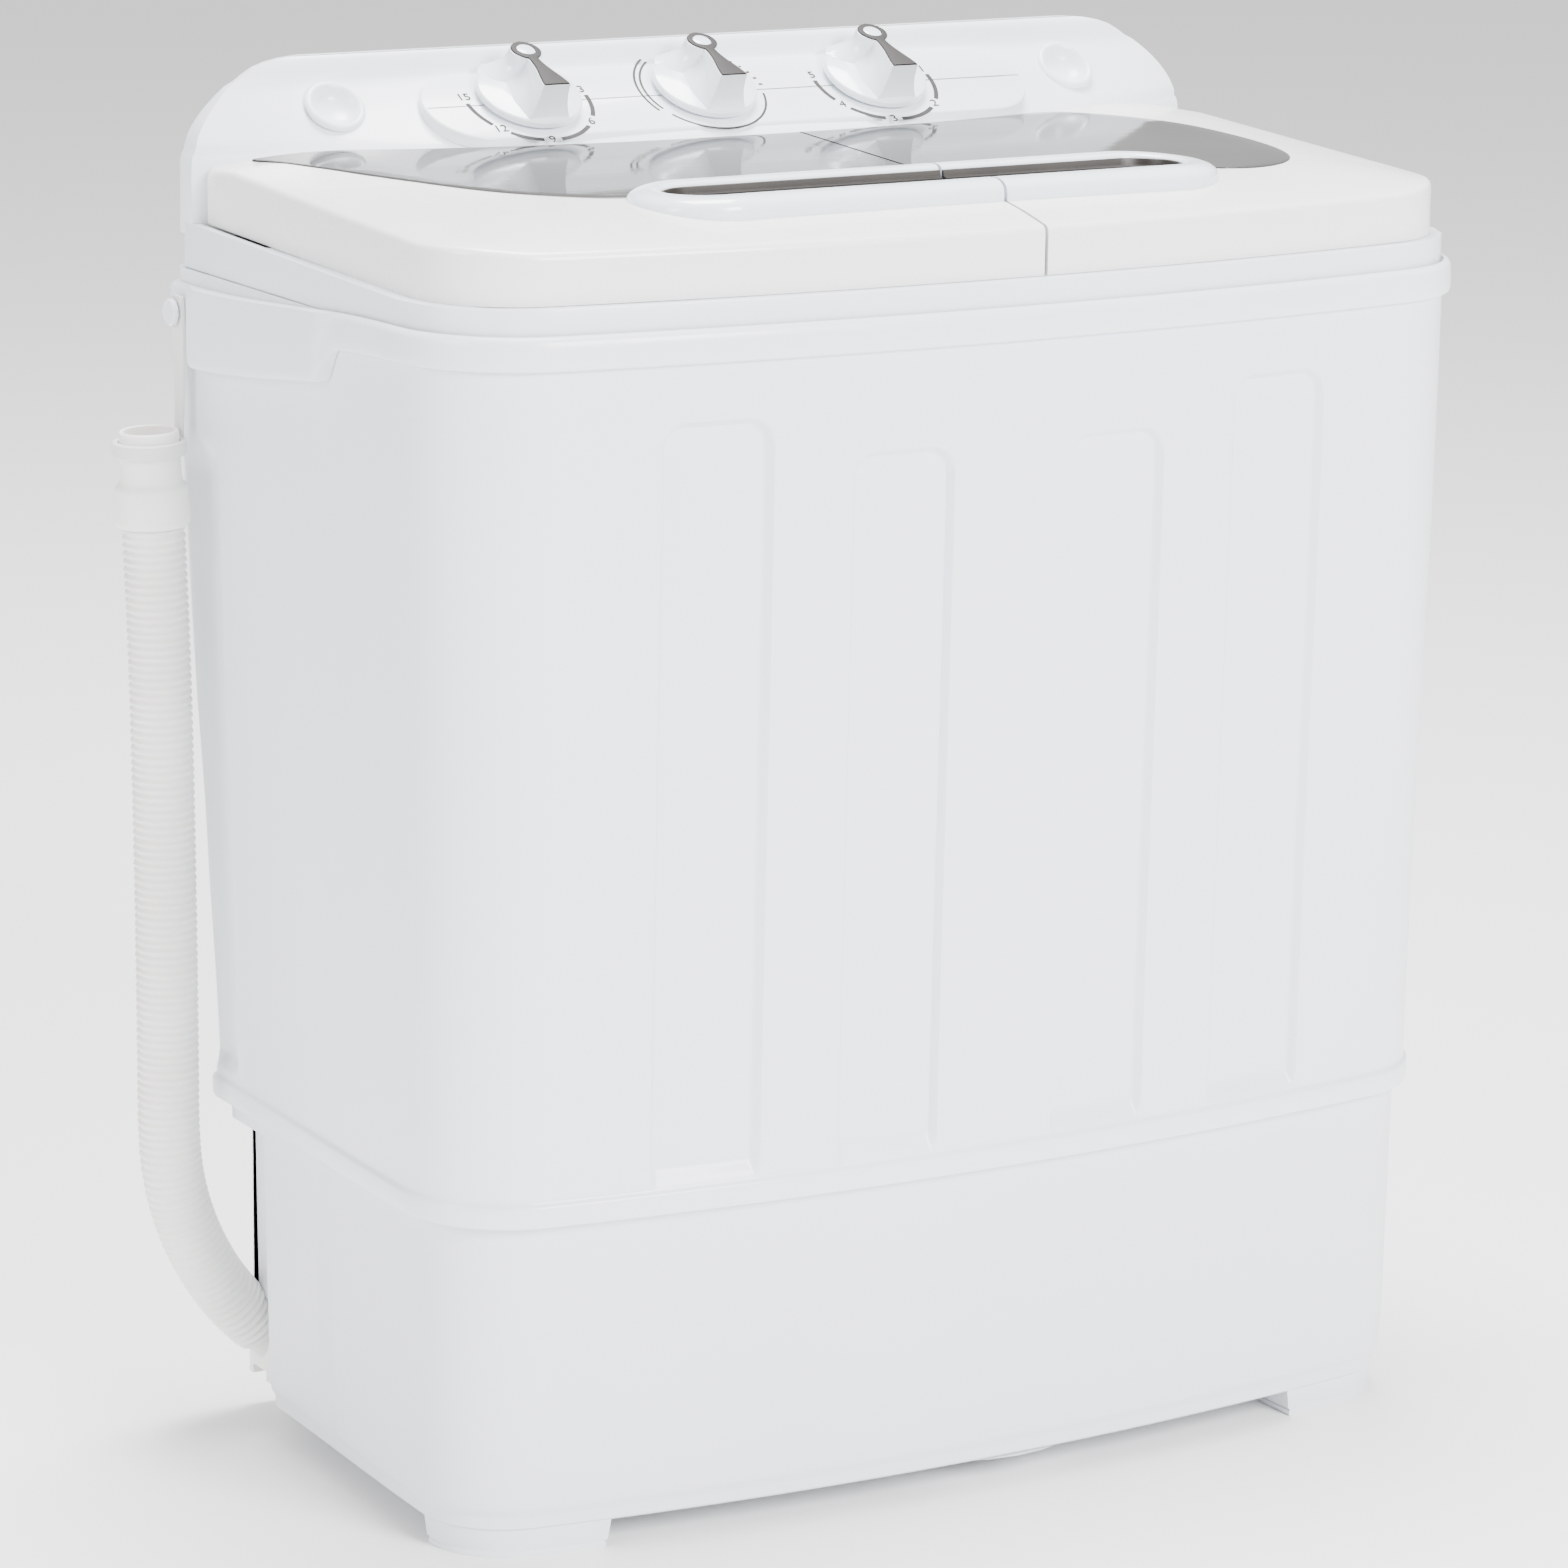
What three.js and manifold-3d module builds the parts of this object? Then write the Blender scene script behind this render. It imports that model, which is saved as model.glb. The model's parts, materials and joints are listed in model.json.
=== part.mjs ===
// Twin tub washer: a wash tub and a spin tub side by side in one moulded cabinet.
// Millimetres, +Z up, +X to the right of someone facing the machine, +Y to its back.
// The origin is on the floor under the middle of the cabinet.
import * as THREE from 'three';
import { mergeVertices } from 'three/addons/utils/BufferGeometryUtils.js';
import Module from 'manifold-3d';

const wasm = await Module();
wasm.setup();

// ---- driving dimensions -------------------------------------------------------------------

const gap = 0.3;                  // clearance between pieces that touch
const halfWidth = 288;            // outer casing, half its width
const frontY = -160;              // foremost line of the casing, at its middle
const rearY = 150;                // back edge of the casing
const frontBow = 24;              // how far the front falls back at its corners
const cornerRadius = 52;          // front vertical corners
const shellWall = 3;              // cabinet mouldings

const baseBottom = 14;            // lower edge of the base skirt
const baseCrease = 22;            // step above the lower edge
const lipBottom = 166;            // where the casing's lip overhangs the base
const lipTop = 178;
const rimBottom = 572;
const rimTop = 588;
const deckTop = 600;              // frame that the lids close on
const lidCrease = 620;            // top of the lids' upright skirt
const lidTop = 634;               // level of the windows
const gripTop = 641;              // level of the raised grip ring
const consoleTop = 683;

const earY = 126;                 // back end of the lids beside the console
const seamX = 20;                 // gap between the wash lid and the spin lid
const lidHalfWidth = 281;
const lidWall = 2.5;

const faceSlope = 29;             // degrees from level of the console's face
const knobX = [-112, -12, 88];    // wash timer, selector, spin timer
const knobRadius = 27;

const washCentre = new THREE.Vector2(-122, -36);
const washHalf = new THREE.Vector2(142, 96);
const washFloor = 236;
const spinCentre = new THREE.Vector2(152, -34);
const spinTubRadius = 100;
const spinFloor = 214;
const basketRadius = 88;
const basketBottom = 236;
const basketTop = 560;

const rearDraft = 8;              // how far the back leans in at its foot
const hoseRadius = 15.5;
const outletY = 118.5;              // drain outlet through the wall of the hose recess
const outletZ = 35;
const hoseY = 128;
const pegY = 132;                 // peg on the left of the rim that the hose hangs from
const pegZ = 564;
const cordAt = new THREE.Vector2(190, 230);   // x and z of the mains cord's way in

// Centre line of the drain hose, from its outlet in the base up to its end cuff.
const hosePoints = [
  [-255.4, 128, 44.5], [-269.9, 128, 59.6], [-282.2, 128, 76.5], [-292, 128, 95], [-299.2, 128, 114.7],
  [-303.5, 128, 135.1], [-305, 128, 156], [-305.2, 128, 200], [-305.5, 128, 250], [-306, 128, 300],
  [-306.8, 128, 350], [-308, 128, 400], [-309.2, 128, 432], [-310.4, 128, 460],
].map(([x, y, z]) => new THREE.Vector3(x, y, z));
const hoseExit = hosePoints[0];
const hoseEnd = hosePoints.at(-1);

// ---- finishes -----------------------------------------------------------------------------

function finish(colour, roughness, metalness = 0) {
  return { color: colour, roughness, metalness };
}

const finishes = {
  cabinet: finish(0xe9eef6, 0.32),
  base: finish(0xe3e7ee, 0.4),
  lid: finish(0xf1f1ee, 0.3),
  grip: finish(0xe9eef8, 0.25),
  smoked: finish(0x8c8c8c, 0.08),
  slot: finish(0x3c342f, 0.45),
  knob: finish(0xe6ecf6, 0.2),
  inlay: finish(0x50494a, 0.6),
  hose: finish(0xf2f1ec, 0.45),
  hanger: finish(0xdededc, 0.4),
  tub: finish(0xe6e8ea, 0.35),
  steel: finish(0xb4b6b8, 0.35, 0.9),
  rubber: finish(0x2b2b2c, 0.8),
  motor: finish(0x70747a, 0.45, 0.8),
  black: finish(0x232427, 0.5),
  brass: finish(0xb59652, 0.35, 0.9),
};

// ---- solids -------------------------------------------------------------------------------

// Merges a geometry's vertices by position and drops triangles that have collapsed.
function clean(geometry) {
  const bare = geometry.clone();
  bare.deleteAttribute('normal');
  bare.deleteAttribute('uv');
  const merged = mergeVertices(bare, 1e-3);
  const index = merged.getIndex().array;
  const kept = [];
  for (let i = 0; i < index.length; i += 3) {
    const [a, b, c] = [index[i], index[i + 1], index[i + 2]];
    if (a !== b && b !== c && c !== a) kept.push(a, b, c);
  }
  merged.setIndex(kept);
  return merged;
}

function toSolid(geometry) {
  const bare = clean(geometry);
  return new wasm.Manifold(new wasm.Mesh({
    numProp: 3,
    vertProperties: Float32Array.from(bare.getAttribute('position').array),
    triVerts: Uint32Array.from(bare.getIndex().array),
  }));
}

function toGeometry(solid) {
  const mesh = solid.getMesh();
  const geometry = new THREE.BufferGeometry();
  geometry.setAttribute('position', new THREE.BufferAttribute(mesh.vertProperties, 3));
  geometry.setIndex(new THREE.BufferAttribute(mesh.triVerts, 1));
  return geometry;
}

function join(first, ...others) {
  return toGeometry(others.reduce((sum, next) => sum.add(toSolid(next)), toSolid(first)));
}

function cut(first, ...cutters) {
  return toGeometry(cutters.reduce((rest, next) => rest.subtract(toSolid(next)), toSolid(first)));
}

function common(first, second) {
  return toGeometry(toSolid(first).intersect(toSolid(second)));
}

function box(x0, x1, y0, y1, z0, z1) {
  const block = new THREE.BoxGeometry(x1 - x0, y1 - y0, z1 - z0);
  return block.translate((x0 + x1) / 2, (y0 + y1) / 2, (z0 + z1) / 2);
}

// An upright cylinder or cone from z0 to z1.
function rod(x, y, z0, z1, radius, sides = 20, topRadius = radius) {
  const cylinder = new THREE.CylinderGeometry(topRadius, radius, z1 - z0, sides);
  return cylinder.rotateX(Math.PI / 2).translate(x, y, (z0 + z1) / 2);
}

// A cylinder lying along X or along Y.
function rodX(x0, x1, y, z, radius, sides = 16) {
  const cylinder = new THREE.CylinderGeometry(radius, radius, x1 - x0, sides);
  return cylinder.rotateZ(Math.PI / 2).translate((x0 + x1) / 2, y, z);
}

function rodY(x, y0, y1, z, radius, sides = 16) {
  return new THREE.CylinderGeometry(radius, radius, y1 - y0, sides).translate(x, (y0 + y1) / 2, z);
}

// Turns a profile of [radius, height] pairs round the Z axis through x, y, whichever way it runs.
function turned(profile, x, y, sides = 32) {
  const points = profile.map(([r, z]) => new THREE.Vector2(r, z));
  if (THREE.ShapeUtils.area(points) < 0) points.reverse();
  return new THREE.LatheGeometry(points, sides).rotateX(Math.PI / 2).translate(x, y, 0);
}

// A closed body through rings of points that all run anticlockwise seen from above.
function loft(rings) {
  const count = rings[0].length;
  const index = [];
  for (let r = 0; r + 1 < rings.length; r += 1) {
    for (let i = 0; i < count; i += 1) {
      const j = (i + 1) % count;
      const [a, b, c, d] = [r * count + i, r * count + j, (r + 1) * count + j, (r + 1) * count + i];
      index.push(a, b, c, a, c, d);
    }
  }
  const flat = ring => ring.map(p => new THREE.Vector2(p.x, p.y));
  const top = (rings.length - 1) * count;
  for (const [a, b, c] of THREE.ShapeUtils.triangulateShape(flat(rings[0]), [])) index.push(a, c, b);
  for (const [a, b, c] of THREE.ShapeUtils.triangulateShape(flat(rings.at(-1)), [])) {
    index.push(top + a, top + b, top + c);
  }
  const geometry = new THREE.BufferGeometry().setFromPoints(rings.flat());
  geometry.setIndex(index);
  return geometry;
}

function ringAt(outline, height) {
  const z = typeof height === 'function' ? height : () => height;
  return outline.map(p => new THREE.Vector3(p.x, p.y, z(p)));
}

// Plan of the cabinet: a bowed front, rounded front corners, straight sides and back.
function cabinetPlan({ inset = 0, front = frontY, rear = rearY, width = halfWidth } = {}) {
  const half = width - inset;
  const corner = cornerRadius - inset;
  const frontSteps = 6;
  const cornerSteps = 5;
  const flat = half - corner;
  const frontAt = x => front + inset + frontBow * (x / half) ** 2;
  const lean = Math.atan(2 * frontBow * flat / half ** 2);
  const radius = corner / (1 - Math.sin(lean));
  const right = [];
  for (let i = 0; i <= frontSteps; i += 1) {
    const x = flat * i / frontSteps;
    right.push(new THREE.Vector2(x, frontAt(x)));
  }
  for (let i = 1; i <= cornerSteps; i += 1) {
    const angle = lean + (Math.PI / 2 - lean) * i / cornerSteps;
    right.push(new THREE.Vector2(
      flat + radius * (Math.sin(angle) - Math.sin(lean)),
      frontAt(flat) + radius * (Math.cos(lean) - Math.cos(angle)),
    ));
  }
  const back = rear - inset;
  const rearCorner = 10;
  right.push(new THREE.Vector2(half, back - rearCorner));
  right.push(new THREE.Vector2(half - rearCorner * 0.3, back - rearCorner * 0.3));
  right.push(new THREE.Vector2(half - rearCorner, back));
  const left = right.slice(1).reverse().map(p => new THREE.Vector2(-p.x, p.y));
  return [...right, ...left];
}

// A rounded rectangle, anticlockwise.
function roundedPlan(x0, x1, y0, y1, radius, steps = 5) {
  const corners = [[x1 - radius, y0 + radius, -90], [x1 - radius, y1 - radius, 0],
    [x0 + radius, y1 - radius, 90], [x0 + radius, y0 + radius, 180]];
  return corners.flatMap(([cx, cy, start]) => Array.from({ length: steps + 1 }, (_, i) => {
    const angle = THREE.MathUtils.degToRad(start + 90 * i / steps);
    return new THREE.Vector2(cx + radius * Math.cos(angle), cy + radius * Math.sin(angle));
  }));
}

// An upright wall of a plan from z0 to z1, its outside given and its inside left open.
function tube(outer, inner, z0, z1) {
  const over = 5;
  return cut(loft([ringAt(outer, z0), ringAt(outer, z1)]),
    loft([ringAt(inner, z0 - over), ringAt(inner, z1 + over)]));
}

const machine = new THREE.Group();

function add(name, geometry, look, parent = machine) {
  const mesh = new THREE.Mesh(clean(geometry), new THREE.MeshStandardMaterial(finishes[look]));
  mesh.name = name;
  parent.add(mesh);
  return mesh;
}

// ---- base ---------------------------------------------------------------------------------

const baseInset = 9;
const recessY = 110;              // hose recess at the left rear corner of the base
const recessX = -232;

function addBase() {
  const basePlan = inset => cabinetPlan({ inset, rear: rearY - rearDraft });
  const lower = basePlan(baseInset + 5);
  const skirt = loft([
    ringAt(lower, baseBottom),
    ringAt(lower, baseCrease),
    ringAt(basePlan(baseInset + 2), baseCrease + 5),
    ringAt(basePlan(baseInset), baseCrease + 60),
    ringAt(basePlan(baseInset), lipBottom + 6),
  ]);
  const floorTop = 26;
  const hollow = loft([
    ringAt(basePlan(baseInset + 5 + shellWall), floorTop),
    ringAt(basePlan(baseInset + 5 + shellWall), 200),
  ]);
  const recess = box(-320, recessX, recessY, 200, 0, lipBottom - 6);
  const recessWall = cut(
    box(-274, recessX + shellWall, recessY - shellWall, rearY - rearDraft - baseInset - 1, floorTop - 6,
      lipBottom - 6 + shellWall),
    recess,
  );
  const drainHole = rodX(recessX - 10, recessX + 10, outletY, outletZ, 8.3, 16);
  add('base_skirt', cut(join(cut(skirt, hollow, recess), recessWall), drainHole), 'base');
}

function addFeet() {
  const cornerPlan = cabinetPlan({ inset: baseInset + 7 });
  const padPlan = cabinetPlan({ inset: baseInset + 9 });
  const body = loft([ringAt(padPlan, 0), ringAt(padPlan, 3), ringAt(cornerPlan, 3.6), ringAt(cornerPlan, baseBottom - gap)]);
  for (const [side, sign] of [['left', -1], ['right', 1]]) {
    const inner = 196 * sign;
    const outer = 300 * sign;
    const zone = box(Math.min(inner, outer), Math.max(inner, outer), -170, -70, -5, 30);
    add(`foot_front_${side}`, common(body, zone), 'base');
    add(`foot_rear_${side}`, rod(sign * 205, 118, 0, baseBottom - gap, 9, 20, 16), 'base');
  }
  add('motor_guard', turned([[0, 4], [46, 6], [74, 13.7], [0, 13.7]], 24, -74, 28), 'base');
}

// ---- outer casing, rim and deck -----------------------------------------------------------

function addCasing() {
  const rear = rearY - rearDraft;
  const outer = loft([
    ringAt(cabinetPlan({ inset: 6, rear: rear + 4 }), lipBottom),
    ringAt(cabinetPlan({ inset: 2.5, rear: rear + 2.5 }), lipBottom + 4),
    ringAt(cabinetPlan({ inset: 2.5, rear: rear + 2.5 }), lipTop),
    ringAt(cabinetPlan({ inset: 4.5, rear: rear + 4.5 }), lipTop + 3),
    ringAt(cabinetPlan({ inset: 0 }), rimBottom + 12),
  ]);
  const socket = cabinetPlan({ inset: baseInset - gap, rear: rear - gap });
  const hollowLow = loft([ringAt(socket, lipBottom - 5), ringAt(socket, lipBottom + 6 + gap)]);
  const wall = 6;
  const hollow = loft([ringAt(cabinetPlan({ inset: baseInset + 2, rear }), lipBottom),
    ringAt(cabinetPlan({ inset: wall + 5, rear: rear + 5 }), lipTop + 20),
    ringAt(cabinetPlan({ inset: wall }), 620)]);
  const fluteDepth = 3.2;
  const flutes = [[-185, -128, 545], [-87, -32, 525], [32, 87, 525], [128, 185, 545]];
  const cutters = flutes.map(([x0, x1, top]) => {
    const crown = 14;
    const plan = [[x0, lipTop + 4], [x1, lipTop + 4], [x1, top - crown], [x1 - crown, top],
      [x0 + crown, top], [x0, top - crown]];
    const nearY = frontY + frontBow * (((x0 + x1) / 2) / halfWidth) ** 2;
    const shape = new THREE.Shape(plan.map(([x, z]) => new THREE.Vector2(x, z)));
    const block = new THREE.ExtrudeGeometry(shape, { depth: 40, bevelEnabled: false });
    const turn = Math.atan(2 * frontBow * ((x0 + x1) / 2) / halfWidth ** 2);
    const middle = (x0 + x1) / 2;
    return block.rotateX(Math.PI / 2).translate(-middle, 0, 0).rotateZ(turn)
      .translate(middle, nearY + fluteDepth + 1.2, 0);
  });
  const channel = box(-300, -halfWidth + 5, 110, 134, lipTop - 20, 512);
  const backOpening = box(-235, 235, rearY - 30, rearY + 20, 205, 522);
  add('outer_casing', cut(outer, hollowLow, hollow, ...cutters, channel, backOpening), 'cabinet');
  const leanIn = Math.atan(rearDraft / (rimBottom - lipTop));
  const coverLow = 190;
  const coverHigh = 540;
  const cover = tubePan(-250, 250, 0, 5.7, 0, coverHigh - coverLow).rotateX(-leanIn)
    .translate(0, rearY + gap + 0.4 - rearDraft * (rimBottom - coverLow) / (rimBottom - lipTop), coverLow);
  add('rear_cover', cut(cover, rodY(cordAt.x, 120, 180, cordAt.y, 5 + gap)), 'cabinet');
  const collar = rodY(cordAt.x, 150, 155.4, cordAt.y, 8);
  add('cord_gland', cut(join(rodY(cordAt.x, 143, 151, cordAt.y, 5), collar), rodY(cordAt.x, 120, 180, cordAt.y, 3)), 'black');
}

// A shallow tray that stands upright with its open side to the front.
function tubePan(x0, x1, y0, y1, z0, z1) {
  const rim = 12;
  return cut(box(x0, x1, y0, y1, z0, z1),
    box(x0 + rim, x1 - rim, y0 - 5, y1 - shellWall, z0 + rim, z1 - rim));
}

function addRim() {
  const proud = -4;
  const sideDrop = 18;
  const fall = p => sideDrop * THREE.MathUtils.smoothstep(p.y, -90, rearY - 20);
  const outer = loft([
    ringAt(cabinetPlan({ inset: proud }), p => rimBottom - fall(p)),
    ringAt(cabinetPlan({ inset: proud }), p => rimTop - 4 - fall(p) * 0.6),
    ringAt(cabinetPlan({ inset: proud + 4 }), p => rimTop - fall(p) * 0.6),
  ]);
  const hole = loft([ringAt(cabinetPlan({ inset: -gap }), 530), ringAt(cabinetPlan({ inset: -gap }), 620)]);
  const grips = [-1, 1].map(sign => {
    const near = 287 * sign;
    const far = (halfWidth + 3.9) * sign;
    return box(Math.min(near, far), Math.max(near, far), -88, 24, rimBottom - 26, rimBottom + 2);
  });
  const opened = cut(join(outer, ...grips), hole);
  const pegRoot = -halfWidth - 3;
  const peg = join(rodX(pegRoot - 7.5, pegRoot, pegY, pegZ, 4.6), rodX(pegRoot - 9, pegRoot - 6.5, pegY, pegZ, 6.4));
  add('rim_band', join(opened, peg), 'cabinet');
}

function addDeck() {
  const seat = rimBottom + 12 + gap;
  const deckPlan = cabinetPlan({ inset: 1 });
  const body = loft([ringAt(deckPlan, seat), ringAt(deckPlan, deckTop)]);
  const under = loft([ringAt(cabinetPlan({ inset: 8 }), seat - 5), ringAt(cabinetPlan({ inset: 8 }), deckTop - 4)]);
  const washHole = loft([590, 610].map(z => ringAt(roundedPlan(
    washCentre.x - washHalf.x, washCentre.x + washHalf.x, washCentre.y - washHalf.y, washCentre.y + washHalf.y, 40), z)));
  const spinHole = rod(spinCentre.x, spinCentre.y, 590, 610, spinTubRadius, 32);
  // Behind the tubs the deck is open, so that the back of an opening lid can swing down into it.
  const lidWell = box(-lidHalfWidth - 1.5, lidHalfWidth + 1.5, 58, earY + 4, 575, 610);
  add('top_deck', cut(body, under, washHole, spinHole, lidWell), 'cabinet');
}

// ---- console ------------------------------------------------------------------------------

const faceFootY = 84;
const faceFootZ = 640;
const slopeRad = THREE.MathUtils.degToRad(faceSlope);
const faceTopY = rearY - 9;
const faceTopZ = faceFootZ + (faceTopY - 84) * Math.tan(slopeRad);
const panelRise = 1.6;            // raised panel round the three knobs
const knobUp = 37;                // distance of the knob shafts up the face from its foot

// Front edge of the console over the deck, bowed forward at its middle.
function consoleFoot(x) {
  return faceFootY + (earY + 3 - faceFootY) * Math.abs(x / lidHalfWidth) ** 2.4;
}

// The face rises from the foot to a line along the back; part says how far up it a ring is.
function consolePlan(inset, part, wall = 0) {
  const steps = 14;
  const half = halfWidth - 1 - inset - wall;
  const rear = rearY - wall;
  const points = [];
  for (let i = 0; i <= steps; i += 1) {
    const x = -half + 2 * half * i / steps;
    const foot = consoleFoot(x);
    points.push(new THREE.Vector2(x, Math.min(foot + part * (faceTopY - foot) + wall, rear - 9)));
  }
  points.push(new THREE.Vector2(half, rear - 7), new THREE.Vector2(half - 7, rear));
  points.push(new THREE.Vector2(-half + 7, rear), new THREE.Vector2(-half, rear - 7));
  return points;
}

// Rings of the console from the deck up over its sloping face; wall shrinks them for its hollow.
function consoleRings(wall) {
  const part = z => (z - faceFootZ) / (faceTopZ - faceFootZ);
  const levels = [[deckTop + gap, 0, 0], [faceFootZ - 5, 0, 0], [faceFootZ, 3, 0.02], [652, 7, part(652)],
    [664, 16, part(664)], [faceTopZ, 30, 1], [consoleTop - 3, 44, 1], [consoleTop, 58, 1]];
  return levels.map(([z, inset, along], i) => {
    const drop = i === 0 ? -6 : wall;
    return ringAt(consolePlan(inset, along, wall), wall ? z - drop : z);
  });
}

const face = new THREE.Group();
face.position.set(0, faceFootY, faceFootZ);
face.rotation.x = slopeRad;

// Moves a geometry from the face's own axes (x right, y up the slope, z out of it) to the machine's.
function fromFace(geometry) {
  return geometry.rotateX(slopeRad).translate(0, faceFootY, faceFootZ);
}

// Puts a geometry whose axis is Z on the console's face where a water inlet is.
function atInlet(geometry, sign) {
  const inletX = 212;
  const inletZ = 659;
  const foot = consoleFoot(inletX);
  const y = foot + (faceTopY - foot) * (inletZ - faceFootZ) / (faceTopZ - faceFootZ);
  const tilt = Math.atan2(faceTopZ - faceFootZ, faceTopY - foot);
  return geometry.rotateX(tilt).translate(sign * inletX, y, inletZ);
}

function addConsole() {
  machine.add(face);
  const panelPlan = roundedPlan(-168, 172, 2, 60, 26);
  const panel = fromFace(loft([ringAt(panelPlan, -6), ringAt(panelPlan, panelRise)]));
  const shaftHoles = knobX.map(x => fromFace(rod(x, knobUp, -20, 20, 5.2, 12)));
  const cups = [-1, 1].map(sign => atInlet(rod(0, 0, -30, 20, 14.3, 20), sign));
  const shell = cut(join(loft(consoleRings(0)), panel), loft(consoleRings(shellWall)), ...shaftHoles, ...cups);
  add('control_console', shell, 'cabinet');
  for (const [side, sign] of [['left', -1], ['right', 1]]) {
    const dish = [[0, -9], [14, -9], [14, 2.6], [12.5, 3.4], [9, 1.4], [0, 0.2]];
    add(`water_inlet_${side}`, atInlet(turned(dish, 0, 0, 24), sign), 'cabinet');
  }
}

function addKnobs() {
  const base = panelRise + gap;
  const names = ['wash_timer', 'selector', 'spin_timer'];
  names.forEach((name, i) => {
    const x = knobX[i];
    const disc = turned([[0, base], [knobRadius, base], [knobRadius, base + 3.5], [knobRadius - 3, base + 6],
      [13, base + 8], [0, base + 8]], x, knobUp, 32);
    const finHigh = base + 27;
    const side = new THREE.Shape([[-31, finHigh - 2], [-27, finHigh], [12, finHigh - 9], [25, finHigh - 17],
      [26, base + 2], [-22, base + 2]].map(([u, v]) => new THREE.Vector2(u, v)));
    const fin = new THREE.ExtrudeGeometry(side, { depth: 13, bevelEnabled: false });
    // The fin's long side runs down the slope: its own x becomes -y, its height becomes z.
    fin.rotateX(Math.PI / 2).rotateZ(-Math.PI / 2).translate(x + 6.5, knobUp, 0);
    const shaft = rod(x, knobUp, -14, base + 2, 3.8, 12);
    add(`${name}_knob`, join(disc, fin, shaft), 'knob', face);
    const strip = new THREE.Shape([[-30.5, finHigh - 1.1], [-27, finHigh + gap], [12, finHigh - 9 + gap],
      [25, finHigh - 17 + gap], [25.5, finHigh - 15.2], [12, finHigh - 7], [-26.5, finHigh + 2.2],
      [-31.5, finHigh + 0.6]].map(([u, v]) => new THREE.Vector2(u, v)));
    const inlay = new THREE.ExtrudeGeometry(strip, { depth: 11, bevelEnabled: false });
    inlay.rotateX(Math.PI / 2).rotateZ(-Math.PI / 2).translate(x + 5.5, knobUp, 0);
    add(`${name}_inlay`, inlay, 'inlay', face);
  });
}

// Timers and the selector switch hang under the face, on the knob shafts.
function addControls() {
  const under = -13;
  const sizes = { wash_timer: [40, 30, 22], selector: [34, 26, 18], spin_timer: [40, 30, 22] };
  Object.entries(sizes).forEach(([name, [w, h, d]], i) => {
    const x = knobX[i];
    const body = box(x - w / 2, x + w / 2, knobUp - h / 2 - 6, knobUp + h / 2 - 6, under - d, under - 1.5);
    const neck = turned([[4.2, under - 1.6], [8, under - 1.6], [8, -7.5], [4.2, -7.5], [4.2, under - 1.6]], x, knobUp, 16);
    const bore = rod(x, knobUp, under - 3, 0, 4.2, 16);
    add(`${name}_switch`, cut(join(body, neck), bore), 'black', face);
  });
}

// ---- lids ---------------------------------------------------------------------------------

const slotPlan = roundedPlan(-142, 142, -99, -59, 19.5, 4);
const ringPlan = roundedPlan(-160, 160, -118, -42, 37, 6);

// Plan of the two lids together, one step in from the deck and with the console's foot behind.
function lidPlan(inset, back = 0) {
  const front = cabinetPlan({ inset: halfWidth - lidHalfWidth + inset, rear: earY + 40 });
  const edge = lidHalfWidth - inset;
  const kept = front.filter(p => p.y < earY - 20);
  const rightSide = kept.filter(p => p.x >= 0);
  const leftSide = kept.filter(p => p.x < 0);
  const steps = 14;
  const rear = [];
  for (let i = 0; i <= steps; i += 1) {
    const x = edge - 2 * edge * i / steps;
    rear.push(new THREE.Vector2(x, consoleFoot(x) - 3 - back));
  }
  return [...rightSide, ...rear, ...leftSide];
}

function lidShell() {
  const seat = deckTop + gap;
  const drop = p => 3 * (p.x / lidHalfWidth) ** 2;
  const outer = loft([
    ringAt(lidPlan(0), seat),
    ringAt(lidPlan(0), lidCrease),
    ringAt(lidPlan(4, 0), p => lidCrease + 3 + (p.y > -60 ? 5 : 0)),
    ringAt(lidPlan(34, 1), p => lidTop - drop(p)),
  ]);
  const inner = loft([
    ringAt(lidPlan(lidWall, lidWall), seat - 5),
    ringAt(lidPlan(lidWall, lidWall), lidCrease - 2),
    ringAt(lidPlan(34, 2 + lidWall), p => lidTop - lidWall - 1 - drop(p)),
  ]);
  const ring = loft([ringAt(ringPlan, lidTop - 8), ringAt(ringPlan, lidTop - 0.5)]);
  return cut(outer, inner, ring);
}

function windowPlan() {
  const points = [];
  const steps = 12;
  for (let i = 0; i <= steps; i += 1) {
    const x = 236 - 2 * 246 * i / steps;
    points.push(new THREE.Vector2(x, consoleFoot(x) - 8));
  }
  const front = new THREE.QuadraticBezierCurve(points.at(-1), new THREE.Vector2(-190, -34), new THREE.Vector2(-90, -36));
  points.push(...front.getPoints(8).slice(1));
  points.push(new THREE.Vector2(120, -38));
  const right = new THREE.CubicBezierCurve(new THREE.Vector2(140, -40), new THREE.Vector2(200, -60),
    new THREE.Vector2(250, -10), points[0]);
  points.push(...right.getPoints(9).slice(0, -1));
  return points;
}

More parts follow.
